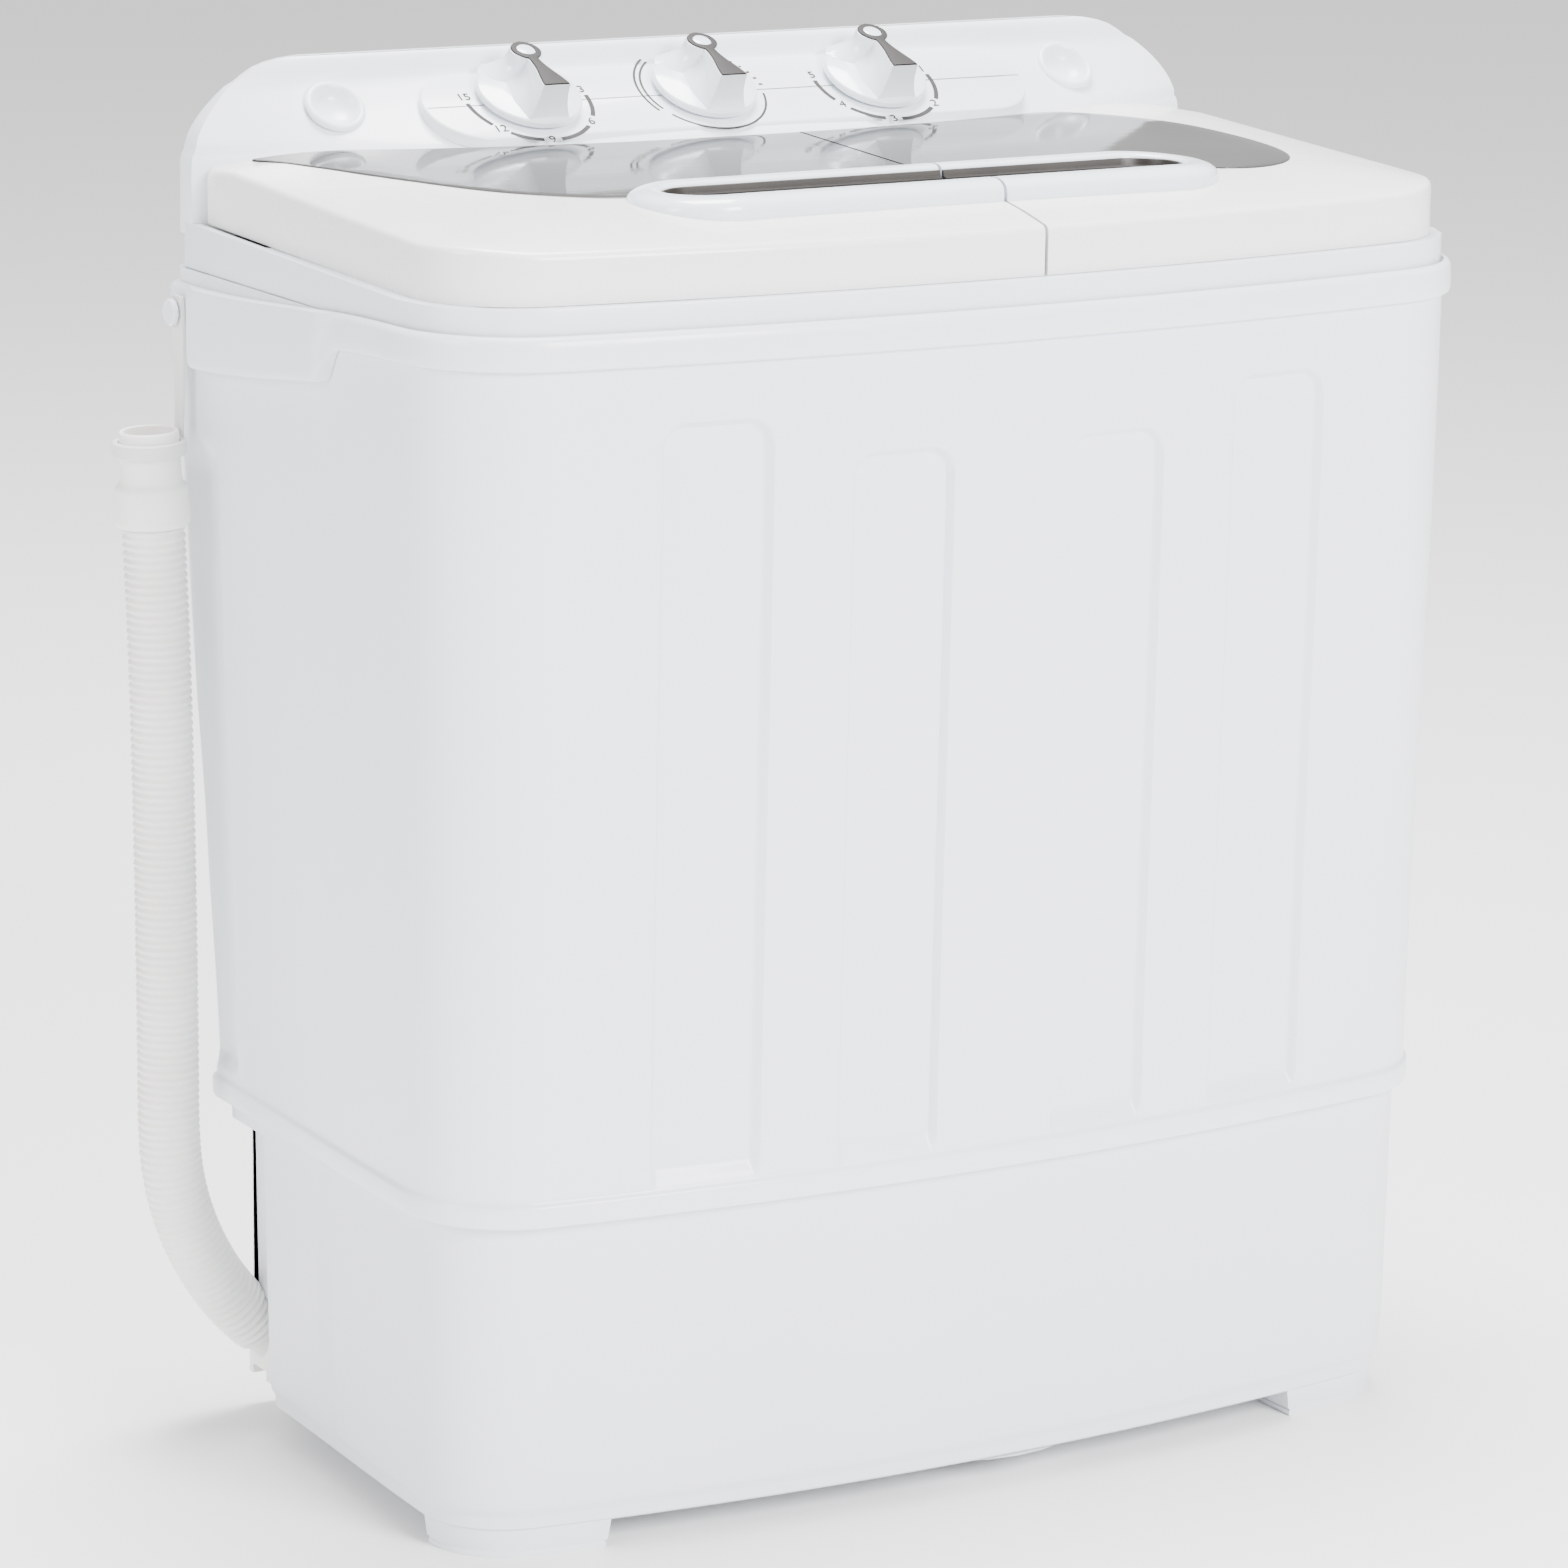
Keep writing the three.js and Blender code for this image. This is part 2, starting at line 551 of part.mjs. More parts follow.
function addLids() {
  const shell = lidShell();
  const seam = 1.2;
  const halves = { wash: box(-320, seamX - seam, -200, 200, 560, 700), spin: box(seamX + seam, 320, -200, 200, 560, 700) };
  const recess = loft([ringAt(windowPlan(), lidTop - 2.2), ringAt(windowPlan(), lidTop + 20)]);
  const windowInset = roundedScale(windowPlan(), 0.94, 0.86, new THREE.Vector2(0, 30));
  const aperture = loft([ringAt(windowInset, lidTop - 20), ringAt(windowInset, lidTop + 20)]);
  const ringSeat = loft([ringAt(ringPlan, lidTop - 8.2), ringAt(ringPlan, lidTop + 20)]);
  const lidFrame = cut(shell, recess, aperture);
  const glassPlan = roundedScale(windowPlan(), 0.998, 0.994, new THREE.Vector2(0, 30));
  const ringPush = roundedPlan(-160 - gap, 160 + gap, -118 - gap, -42 + gap, 37, 6);
  const ringRoom = loft([ringAt(ringPush, lidTop - 20), ringAt(ringPush, lidTop + 20)]);
  const glass = cut(loft([ringAt(glassPlan, lidTop - 1.9), ringAt(glassPlan, lidTop + 0.4)]), ringRoom);
  const ringTopPlan = roundedPlan(-157, 157, -114, -45, 34, 6);
  const gripBody = loft([ringAt(ringPlan, lidTop - 7.7), ringAt(ringPlan, lidTop + 1),
    ringAt(ringTopPlan, gripTop - 1)]);
  const slotHole = loft([ringAt(slotPlan, lidTop - 30), ringAt(slotPlan, lidTop + 30)]);
  const cupPlan = roundedPlan(-144.5, 144.5, -101.5, -56.5, 21, 4);
  const cup = loft([ringAt(cupPlan, lidTop - 26), ringAt(cupPlan, lidTop - 8)]);
  const cupRoom = loft([ringAt(slotPlan, lidTop - 24), ringAt(slotPlan, lidTop)]);
  for (const [side, half] of Object.entries(halves)) {
    add(`${side}_lid_frame`, cut(common(lidFrame, half), ringSeat), 'lid');
    add(`${side}_lid_window`, common(glass, half), 'smoked');
    add(`${side}_lid_grip`, cut(common(gripBody, half), slotHole), 'grip');
    add(`${side}_lid_pocket`, cut(common(cup, half), common(cupRoom, half)), 'slot');
  }
}

function roundedScale(plan, sx, sy, centre) {
  return plan.map(p => new THREE.Vector2(centre.x + (p.x - centre.x) * sx, centre.y + (p.y - centre.y) * sy));
}

// ---- wash side ----------------------------------------------------------------------------

const tubWall = 2.5;
const deckUnder = deckTop - 4 - gap;
const pulsatorRadius = 84;
const washMotorAt = new THREE.Vector2(-14, 52);
const beltZ = 178;
const valveAt = new THREE.Vector2(-44, 40);     // drain hole of the wash tub and its valve
const pipeArm = 34;
const pipeZ = 198;

function washPlan(inset, radius = 38) {
  return roundedPlan(washCentre.x - washHalf.x + inset, washCentre.x + washHalf.x - inset,
    washCentre.y - washHalf.y + inset, washCentre.y + washHalf.y - inset, radius - inset);
}

function addWashTub() {
  const { x, y } = washCentre;
  const dish = 10;
  const outer = loft([ringAt(washPlan(8), washFloor - tubWall), ringAt(washPlan(4), washFloor + 30),
    ringAt(washPlan(1), deckUnder)]);
  const inner = loft([ringAt(washPlan(8 + tubWall), washFloor), ringAt(washPlan(4 + tubWall), washFloor + 30),
    ringAt(washPlan(1 + tubWall), deckUnder + 10)]);
  const well = rod(x, y, washFloor - dish - tubWall, washFloor - 1, pulsatorRadius + 5, 32);
  const wellRoom = rod(x, y, washFloor - dish, washFloor + 5, pulsatorRadius + 2.5, 32);
  const shaftHole = rod(x, y, 200, 260, 9.3, 16);
  const drain = rod(valveAt.x, valveAt.y, 200, 260, 9, 16);
  add('wash_tub', cut(join(outer, well), inner, wellRoom, shaftHole, drain), 'tub');

  const disc = turned([[0, 229], [pulsatorRadius - 3, 229], [pulsatorRadius, 231], [pulsatorRadius, 233],
    [34, 240], [20, 248], [0, 250]], x, y, 32);
  const vanes = [0, 1, 2].map(i => {
    const vane = new THREE.Shape([[14, 230], [pulsatorRadius - 6, 230], [pulsatorRadius - 10, 238], [24, 252],
      [14, 252]].map(([u, v]) => new THREE.Vector2(u, v)));
    return new THREE.ExtrudeGeometry(vane, { depth: 12, bevelEnabled: false }).rotateX(Math.PI / 2)
      .translate(0, 6, 0).rotateZ(i * 2 * Math.PI / 3).translate(x, y, 0);
  });
  const socket = rod(x, y, 220, 244, 5 + gap, 12);
  add('pulsator', cut(join(disc, ...vanes), socket), 'tub');
  add('pulsator_shaft', rod(x, y, beltZ - 14, 242, 5, 12), 'steel');
  const bush = [[5 + gap, 192], [26, 192], [26, 202], [13, 206], [13, 222.7], [9, 222.7], [9, 228.7], [5 + gap, 228.7],
    [5 + gap, 192]];
  add('drive_housing', turned(bush, x, y, 24), 'motor');
  const pulley = [[5 + gap, beltZ - 8], [52, beltZ - 8], [56, beltZ - 6], [50, beltZ], [56, beltZ + 6],
    [52, beltZ + 8], [5 + gap, beltZ + 8], [5 + gap, beltZ - 8]];
  add('wash_pulley', turned(pulley, x, y, 32), 'motor');

  const motor = washMotorAt;
  const small = [[0, beltZ - 8], [17, beltZ - 8], [18, beltZ - 6], [13, beltZ], [18, beltZ + 6], [17, beltZ + 8],
    [0, beltZ + 8]];
  add('motor_pulley', join(turned(small, motor.x, motor.y, 20), rod(motor.x, motor.y, 150, beltZ, 4, 12)), 'motor');
  const can = turned([[4.6, 152], [30, 152], [50, 140], [50, 82], [30, 70], [0, 70], [0, 148], [4.6, 148],
    [4.6, 152]], motor.x, motor.y, 24);
  add('wash_motor', can, 'motor');
  addBelt();
}

// The belt runs outside both pulleys in one flat loop.
function addBelt() {
  const away = new THREE.Vector2().subVectors(washMotorAt, washCentre);
  const reach = away.length();
  const bearing = away.angle();
  const loop = (thick, steps) => {
    const big = 52 + gap + thick;
    const little = 15 + gap + thick;
    const lean = Math.acos((big - little) / reach);
    const arc = (from, to, r, cx) => Array.from({ length: steps + 1 }, (_, i) => {
      const angle = from + (to - from) * i / steps;
      return new THREE.Vector2(cx + r * Math.cos(angle), r * Math.sin(angle));
    });
    return [...arc(-lean, lean, little, reach), ...arc(lean, 2 * Math.PI - lean, big, 0)];
  };
  const band = tube(loop(4.5, 14), loop(1.2, 14), beltZ - 4, beltZ + 4);
  const shifted = cut(band, rod(0, 0, beltZ - 20, beltZ + 20, 1, 6)).rotateZ(bearing)
    .translate(washCentre.x, washCentre.y, 0);
  add('drive_belt', cut(shifted, rod(washCentre.x, washCentre.y, 140, 220, 56.3, 32),
    rod(washMotorAt.x, washMotorAt.y, 140, 220, 18.4, 20)), 'rubber');
}

// ---- spin side ----------------------------------------------------------------------------

function addSpinSide() {
  const { x, y } = spinCentre;
  const r = spinTubRadius;
  const tubProfile = [[16, spinFloor - tubWall], [r + tubWall, spinFloor - tubWall], [r + tubWall, deckUnder],
    [r, deckUnder], [r, spinFloor], [16, spinFloor], [16, spinFloor - tubWall]];
  add('spin_tub', cut(turned(tubProfile, x, y, 32), rod(x - 70, y + 50, 190, 230, 9, 16)), 'tub');
  const b = basketRadius;
  const wall = 2;
  const basket = [[6 + gap, basketBottom], [b - 8, basketBottom], [b, basketBottom + 8], [b, basketTop - 16],
    [b + 3, basketTop - 14], [b + 3, basketTop], [b - 7, basketTop], [b - 7, basketTop - 14],
    [b - wall, basketTop - 16], [b - wall, basketBottom + 9], [b - 9, basketBottom + wall], [24, basketBottom + wall],
    [16, basketBottom + 26], [6 + gap, basketBottom + 26], [6 + gap, basketBottom]];
  add('spin_basket', turned(basket, x, y, 32), 'tub');
  add('spin_shaft', rod(x, y, 120, basketBottom + 24, 6, 12), 'steel');
  const bellows = [[6 + 2 * gap, 190], [20, 190], [22, 196], [19, 202], [22, 208], [16 - gap, 211],
    [16 - gap, spinFloor + 3], [11, spinFloor + 3], [10, 206], [6 + 2 * gap, 204], [6 + 2 * gap, 190]];
  add('shaft_seal', turned(bellows, x, y, 24), 'rubber');
  const drum = [[6 + gap, 172], [42, 172], [42, 184], [38, 184], [38, 176], [6 + gap, 176], [6 + gap, 172]];
  add('brake_drum', turned(drum, x, y, 28), 'motor');
  const can = [[6 + gap, 160], [34, 160], [54, 146], [54, 96], [34, 82], [0, 82], [0, 116], [6 + gap, 116],
    [6 + gap, 160]];
  add('spin_motor', turned(can, x, y, 28), 'motor');
  const plate = cut(turned([[0, 74], [78, 74], [78, 78], [34, 78], [34, 81.7], [0, 81.7]], x, y, 28),
    rod(x, y, 60, 90, 10, 12));
  add('motor_plate', plate, 'steel');
  for (let i = 0; i < 3; i += 1) {
    const angle = Math.PI / 2 + i * 2 * Math.PI / 3;
    const [sx, sy] = [x + 62 * Math.cos(angle), y + 62 * Math.sin(angle)];
    add(`motor_spring_${i + 1}`, spring(sx, sy, 26 + gap, 74 - gap), 'steel');
  }
  addBrakeArm(x, y);
  // A loose disc pressed down on the load inside the basket's mouth.
  const disc = turned([[0, 536], [b - 10, 536], [b - 10, 540], [26, 540], [22, 552], [0, 552]], x, y, 32);
  add('spin_pressing_disc', disc, 'tub');
}

// A helical spring as one closed sweep.
function spring(x, y, z0, z1) {
  const turns = 4;
  const wire = 1.8;
  const radius = 10;
  class Helix extends THREE.Curve {
    getPoint(t, target = new THREE.Vector3()) {
      const angle = 2 * Math.PI * turns * t;
      const z = z0 + wire + (z1 - z0 - 2 * wire) * t;
      return target.set(x + radius * Math.cos(angle), y + radius * Math.sin(angle), z);
    }
  }
  const section = new THREE.Shape(Array.from({ length: 5 }, (_, i) => {
    const angle = i * 2 * Math.PI / 5;
    return new THREE.Vector2(wire * Math.cos(angle), wire * Math.sin(angle));
  }));
  return new THREE.ExtrudeGeometry(section, { steps: 28, bevelEnabled: false, extrudePath: new Helix() });
}

function addBrakeArm(x, y) {
  const shoe = cut(rod(x, y, 173, 183, 50, 28), rod(x, y, 160, 190, 44, 28), box(x - 60, x + 60, y - 60, y + 34, 160, 190));
  const arm = box(x - 4, x + 4, y + 46, y + 74, 174, 182);
  const eye = rod(x, y + 76, 173, 183, 8, 16);
  add('brake_lever', cut(join(shoe, arm, eye), rod(x, y + 76, 160, 200, 3.4, 12)), 'steel');
}

// ---- drain --------------------------------------------------------------------------------


function addDrain() {
  const { x, y } = valveAt;
  // Valve chamber under the drain hole, with a side arm to the drain pipe.
  const body = turned([[0, 188], [17, 188], [17, 231], [0, 231]], x, y, 20);
  const arm = rodX(x - pipeArm, x - 10, y, pipeZ, 9, 14);
  const room = rod(x, y, 190.5, 240, 13, 20);
  const armRoom = rodX(x - 50, x - 5, y, pipeZ, 6, 14);
  add('drain_valve_body', cut(join(body, arm), room, armRoom), 'black');
  const plug = turned([[0, 208], [9, 208], [12, 212], [12, 216], [7, 222], [0, 222]], x, y, 20);
  add('drain_valve_plug', join(plug, rod(x, y, 192, 210, 3, 10)), 'rubber');
}

const pipeAt = [[-80, 40, 198], [-104, 44, 197], [-130, 66, 180], [-146, 96, 120], [-160, 110, 62],
  [-190, 118, 37], [-212, 118.5, 35], [-226, 118.5, 35]].map(([x, y, z]) => new THREE.Vector3(x, y, z));

function ringSection(radius, sides) {
  return new THREE.Shape(Array.from({ length: sides }, (_, i) => {
    const angle = 2 * Math.PI * i / sides;
    return new THREE.Vector2(radius * Math.cos(angle), radius * Math.sin(angle));
  }));
}

function sweep(points, radius, steps, sides = 10) {
  const path = new THREE.CatmullRomCurve3(points, false, 'centripetal');
  return new THREE.ExtrudeGeometry(ringSection(radius, sides), { steps, bevelEnabled: false, extrudePath: path });
}

// A straight round bar between two points.
function bar(from, to, radius, sides = 16) {
  const along = new THREE.Vector3().subVectors(to, from);
  const turn = new THREE.Quaternion().setFromUnitVectors(new THREE.Vector3(0, 1, 0), along.clone().normalize());
  const middle = from.clone().addScaledVector(along, 0.5);
  return new THREE.CylinderGeometry(radius, radius, along.length(), sides).applyQuaternion(turn)
    .translate(middle.x, middle.y, middle.z);
}

function addHose() {
  add('drain_pipe', sweep(pipeAt, 6, 16, 8), 'black');
  // Outlet block with its spigot turned up towards the hose.
  const away = new THREE.CatmullRomCurve3(hosePoints, false, 'centripetal').getTangent(0);
  const elbow = hoseExit.clone().addScaledVector(away, -14);
  const tip = hoseExit.clone().addScaledVector(away, -gap);
  const neck = rodX(-250, -226 - gap, outletY, outletZ, 8);
  const block = cut(box(-256, -235, 112, 139, 17, 40), box(-270, -240, 120, 135, 16, 22));
  add('hose_outlet', join(block, neck, bar(elbow, tip, 12.5)), 'hose');
  add('drain_hose', sweep(hosePoints, hoseRadius, 26, 12), 'hose');

  const cuff = [[12, gap], [15.5, gap], [18.2, 2.5], [19, 20], [17, 24], [15, 27], [14.8, 48], [12.4, 48], [12, gap]];
  add('hose_cuff', onHoseEnd(turned(cuff, 0, 0, 24)), 'hose');
}

// Where the hose's cuff stands: its own axis is Z, its foot is on the end of the hose.
function onHoseEnd(geometry) {
  const up = new THREE.CatmullRomCurve3(hosePoints, false, 'centripetal').getTangent(1);
  const turn = new THREE.Quaternion().setFromUnitVectors(new THREE.Vector3(0, 0, 1), up);
  return geometry.applyQuaternion(turn).translate(hoseEnd.x, hoseEnd.y, hoseEnd.z);
}

function addHanger() {
  const thick = 2.4;
  const strapX = -halfWidth - 5.3 - thick;
  const side = new THREE.Shape([[pegY - 9, 556], [pegY - 5, 572], [pegY + 5, 573], [pegY + 9, 558], [pegY + 2, 512],
    [pegY + 2, 496], [pegY - 8, 496], [pegY - 8, 512]].map(([u, v]) => new THREE.Vector2(u, v)));
  const strap = new THREE.ExtrudeGeometry(side, { depth: thick, bevelEnabled: false });
  strap.rotateX(Math.PI / 2).rotateZ(Math.PI / 2).translate(strapX, 0, 0);
  const eye = rodX(strapX - 10, strapX + 10, pegY, pegZ, 5.2);
  const clip = onHoseEnd(turned([[15.4, 36], [18.6, 36], [18.6, 43], [15.4, 43], [15.4, 36]], 0, 0, 20));
  const bore = onHoseEnd(rod(0, 0, 10, 60, 15.4, 20));
  add('hose_hanger', join(cut(strap, eye, bore), clip), 'hanger');
}

// ---- small fittings -----------------------------------------------------------------------

function addFittings() {
  const back = washCentre.y + washHalf.y - 8;
  const frame = cut(box(-180, -66, back - 6, back, 300, 470), box(-172, -74, back - 10, back - 2, 308, 462));
  add('lint_filter', frame, 'tub');
  add('run_capacitor', rodX(-196, -136, -80, 46, 17, 16), 'black');
}

addBase();
addFeet();
addCasing();
addRim();
addDeck();
addConsole();
addKnobs();
addControls();
addLids();
addWashTub();
addSpinSide();
addDrain();
addHose();
addHanger();
addFittings();

// Brings the middle of the whole machine over the origin.
machine.position.set(4, 4, 0);

export default machine;
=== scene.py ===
import json
import math
import bmesh
import bpy
from mathutils import Matrix, Vector

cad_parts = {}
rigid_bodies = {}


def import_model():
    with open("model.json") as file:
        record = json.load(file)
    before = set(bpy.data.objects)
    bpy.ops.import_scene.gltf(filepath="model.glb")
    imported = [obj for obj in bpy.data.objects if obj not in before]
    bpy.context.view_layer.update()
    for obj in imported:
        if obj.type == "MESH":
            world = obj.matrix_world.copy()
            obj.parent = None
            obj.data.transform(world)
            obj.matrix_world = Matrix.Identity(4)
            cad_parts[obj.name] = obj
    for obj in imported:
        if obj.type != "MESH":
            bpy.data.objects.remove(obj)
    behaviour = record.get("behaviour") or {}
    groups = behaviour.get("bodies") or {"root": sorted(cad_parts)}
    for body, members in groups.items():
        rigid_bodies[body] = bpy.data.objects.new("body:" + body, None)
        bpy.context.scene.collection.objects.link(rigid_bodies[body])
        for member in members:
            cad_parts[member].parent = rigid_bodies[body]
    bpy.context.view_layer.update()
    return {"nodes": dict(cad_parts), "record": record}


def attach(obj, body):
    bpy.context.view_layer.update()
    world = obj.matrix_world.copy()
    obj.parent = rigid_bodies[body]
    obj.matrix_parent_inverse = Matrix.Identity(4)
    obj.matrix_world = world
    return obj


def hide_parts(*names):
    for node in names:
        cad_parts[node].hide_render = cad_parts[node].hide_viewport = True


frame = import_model()

# All sizes below are in millimetres unless a name says otherwise.
mm = 0.001
middle = Vector((4, 4, 0))  # the cabinet's own centre line in the row frame

# The camera.

cameraLook = {
    "azimuth": -30.9, "elevation": 13.3, "distance": 3065, "lens": 6164 / 1568 * 36,
    "target": (-21.4, 8, 326.8), "roll": 0.84,
}


def addCamera(look):
    camera = bpy.data.objects.new("camera", bpy.data.cameras.new("camera"))
    bpy.context.scene.collection.objects.link(camera)
    bpy.context.scene.camera = camera
    camera.data.lens = look["lens"]
    camera.data.sensor_width = 36
    camera.data.clip_end = 50
    azimuth, elevation = math.radians(look["azimuth"]), math.radians(look["elevation"])
    target = Vector(look["target"]) * mm
    outward = Vector((math.sin(azimuth) * math.cos(elevation), -math.cos(azimuth) * math.cos(elevation),
                      math.sin(elevation)))
    camera.location = target + outward * look["distance"] * mm
    turn = (target - camera.location).to_track_quat("-Z", "Y").to_matrix().to_4x4()
    camera.matrix_world = Matrix.Translation(camera.location) @ turn @ Matrix.Rotation(
        math.radians(look["roll"]), 4, "Z")


addCamera(cameraLook)
print("camera done")

# Mesh helpers.


def place(p):
    return ((p[0] + middle.x) * mm, (p[1] + middle.y) * mm, p[2] * mm)


def makeMesh(name, points, faces, angle=32, merge=1e-6):
    mesh = bpy.data.meshes.new(name)
    mesh.from_pydata([place(p) for p in points], [], faces)
    bm = bmesh.new()
    bm.from_mesh(mesh)
    bmesh.ops.remove_doubles(bm, verts=bm.verts, dist=merge)
    bmesh.ops.recalc_face_normals(bm, faces=bm.faces)
    bm.to_mesh(mesh)
    bm.free()
    return addObject(name, mesh, angle)


def addObject(name, mesh, angle=32):
    mesh.name = name
    mesh.shade_smooth()
    if angle:
        mesh.set_sharp_from_angle(angle=math.radians(angle))
    thing = bpy.data.objects.new(name, mesh)
    bpy.context.scene.collection.objects.link(thing)
    return thing


def bake(thing, angle=32):  # makes the modifiers' result the object's own plain mesh
    bpy.context.view_layer.update()
    graph = bpy.context.evaluated_depsgraph_get()
    result = bpy.data.meshes.new_from_object(thing.evaluated_get(graph))
    old = thing.data
    thing.modifiers.clear()
    thing.data = result
    result.name = thing.name
    if old.users == 0:
        bpy.data.meshes.remove(old)
    if angle:
        result.shade_smooth()
        result.set_sharp_from_angle(angle=math.radians(angle))
    return thing


def bevelled(thing, width, segments=3, limit=35):
    bevel = thing.modifiers.new("bevel", "BEVEL")
    bevel.width = width * mm
    bevel.segments = segments
    bevel.limit_method = "ANGLE"
    bevel.angle_limit = math.radians(limit)
    bevel.harden_normals = False
    return bake(thing)


def loft(rings, loop=False, caps=True):  # points and faces through rings of equal count
    count = len(rings[0])
    points = [p for ring in rings for p in ring]
    faces = []
    last = len(rings) if loop else len(rings) - 1
    for r in range(last):
        a, b = r * count, ((r + 1) % len(rings)) * count
        for i in range(count):
            j = (i + 1) % count
            faces.append((a + i, a + j, b + j, b + i))
    if caps and not loop:
        faces.append(tuple(reversed(range(count))))
        top = (len(rings) - 1) * count
        faces.append(tuple(range(top, top + count)))
    return points, faces


def lathe(profile, sides=64):  # profile of (radius, height) turned round Z
    rings = [[(r * math.cos(2 * math.pi * i / sides), r * math.sin(2 * math.pi * i / sides), z)
              for i in range(sides)] for r, z in profile]
    return rings


def moved(rings, matrix):
    return [[tuple(matrix @ Vector(p)) for p in ring] for ring in rings]


def at(x, y, z=0):
    return Matrix.Translation(Vector((x, y, z)))


def smooth(v, low, high):
    t = min(max((v - low) / (high - low), 0), 1)
    return t * t * (3 - 2 * t)


def bisected(thing, x, keepLeft):  # cuts a closed shell at x and closes the cut
    mesh = thing.data
    bm = bmesh.new()
    bm.from_mesh(mesh)
    cut = bmesh.ops.bisect_plane(
        bm, geom=bm.verts[:] + bm.edges[:] + bm.faces[:], plane_co=((x + middle.x) * mm, 0, 0),
        plane_no=(1, 0, 0),
        clear_outer=keepLeft, clear_inner=not keepLeft)
    edges = [e for e in cut["geom_cut"] if isinstance(e, bmesh.types.BMEdge)]
    bmesh.ops.triangle_fill(bm, use_beauty=True, edges=edges)
    bmesh.ops.recalc_face_normals(bm, faces=bm.faces)
    bm.to_mesh(mesh)
    bm.free()
    mesh.set_sharp_from_angle(angle=math.radians(32))
    return thing


def copied(thing, name):
    twin = bpy.data.objects.new(name, thing.data.copy())
    bpy.context.scene.collection.objects.link(twin)
    twin.data.name = name
    return twin


def dropped(thing):
    mesh = thing.data
    bpy.data.objects.remove(thing)
    bpy.data.meshes.remove(mesh)


def cutBy(thing, cutter, angle=32):
    modifier = thing.modifiers.new("cut", "BOOLEAN")
    modifier.object = cutter
    modifier.operation = "DIFFERENCE"
    modifier.solver = "EXACT"
    bake(thing, angle)
    dropped(cutter)
    return thing


def joined(name, *parts):  # several meshes as one piece
    bm = bmesh.new()
    for part in parts:
        bm.from_mesh(part.data)
    mesh = bpy.data.meshes.new(name)
    bm.to_mesh(mesh)
    bm.free()
    for part in parts:
        dropped(part)
    return addObject(name, mesh)


# Shader maths and the materials.


class Wire:  # one socket, with sums and products written as Python
    def __init__(self, shade, socket):
        self.shade = shade
        self.socket = socket

    def maths(self, operation, a, b=None, clamp=False):
        values = {0: a} if b is None else {0: a, 1: b}
        return self.shade.node("ShaderNodeMath", {"operation": operation, "use_clamp": clamp}, values)

    def __add__(self, other):
        return self.maths("ADD", self, other)

    __radd__ = __add__

    def __mul__(self, other):
        return self.maths("MULTIPLY", self, other)

    __rmul__ = __mul__


class Shade:  # one material and its node tree
    def __init__(self, name):
        self.material = bpy.data.materials.new(name)
        self.material.use_nodes = True
        self.tree = self.material.node_tree
        self.tree.nodes.clear()
        self.shader = self.tree.nodes.new("ShaderNodeBsdfPrincipled")
        self.output = self.tree.nodes.new("ShaderNodeOutputMaterial")
        self.tree.links.new(self.shader.outputs[0], self.output.inputs[0])
        self.coordinates = self.node("ShaderNodeTexCoord", {}, {}, "Object")

    def node(self, kind, settings, inputs, output=0):
        made = self.tree.nodes.new(kind)
        for key, value in settings.items():
            if key == "stops":
                self.setStops(made.color_ramp, value)
            else:
                setattr(made, key, value)
        for key, value in inputs.items():
            self.feed(made.inputs[key], value)
        return Wire(self, made.outputs[output])

    def setStops(self, ramp, stops):
        while len(ramp.elements) < len(stops):
            ramp.elements.new(0.5)
        for element, (position, colour) in zip(ramp.elements, stops):
            element.position = position
            element.color = colour

    def feed(self, socket, value):
        if isinstance(value, Wire):
            self.tree.links.new(value.socket, socket)
        else:
            socket.default_value = value

    def noise(self, scale, detail=2.0, roughness=0.5, vector=None):
        return self.node("ShaderNodeTexNoise", {}, {
            "Vector": vector or self.coordinates, "Scale": scale, "Detail": detail, "Roughness": roughness})

    def mix(self, factor, first, second):
        made = self.tree.nodes.new("ShaderNodeMix")
        made.data_type = "RGBA"
        for socket, value in ((made.inputs[0], factor), (made.inputs[6], first), (made.inputs[7], second)):
            self.feed(socket, value)
        return Wire(self, made.outputs[2])

    def ramp(self, value, low, high):  # 0 below low, 1 above high
        return self.node("ShaderNodeMapRange", {"interpolation_type": "SMOOTHSTEP"}, {
            "Value": value, "From Min": low, "From Max": high})

    def bump(self, height, strength, distance):
        return self.node("ShaderNodeBump", {},
            {"Height": height, "Strength": strength, "Distance": distance})

    def set(self, **values):
        for key, value in values.items():
            self.feed(self.shader.inputs[key.replace("_", " ")], value)
        return self.material


def rgb(r, g, b):
    return (r, g, b, 1.0)


def mouldedPlastic(name, colour, second, roughness, grain, coat=0.0):
    shade = Shade(name)
    cloud = shade.noise(3.5, 3.0)
    fleck = shade.noise(900.0, 2.0, 0.6)
    handling = shade.noise(22.0, 4.0, 0.62)
    surface = shade.mix(shade.ramp(cloud, 0.36, 0.66), colour, second)
    shade.set(
        Base_Color=surface, Roughness=roughness + shade.ramp(handling, 0.42, 0.75) * 0.09 + fleck * 0.05,
        Normal=shade.bump(fleck + handling * 0.25, grain, 0.0003), IOR=1.49)
    if coat:
        shade.set(Coat_Weight=coat, Coat_Roughness=0.08)
    return shade.material


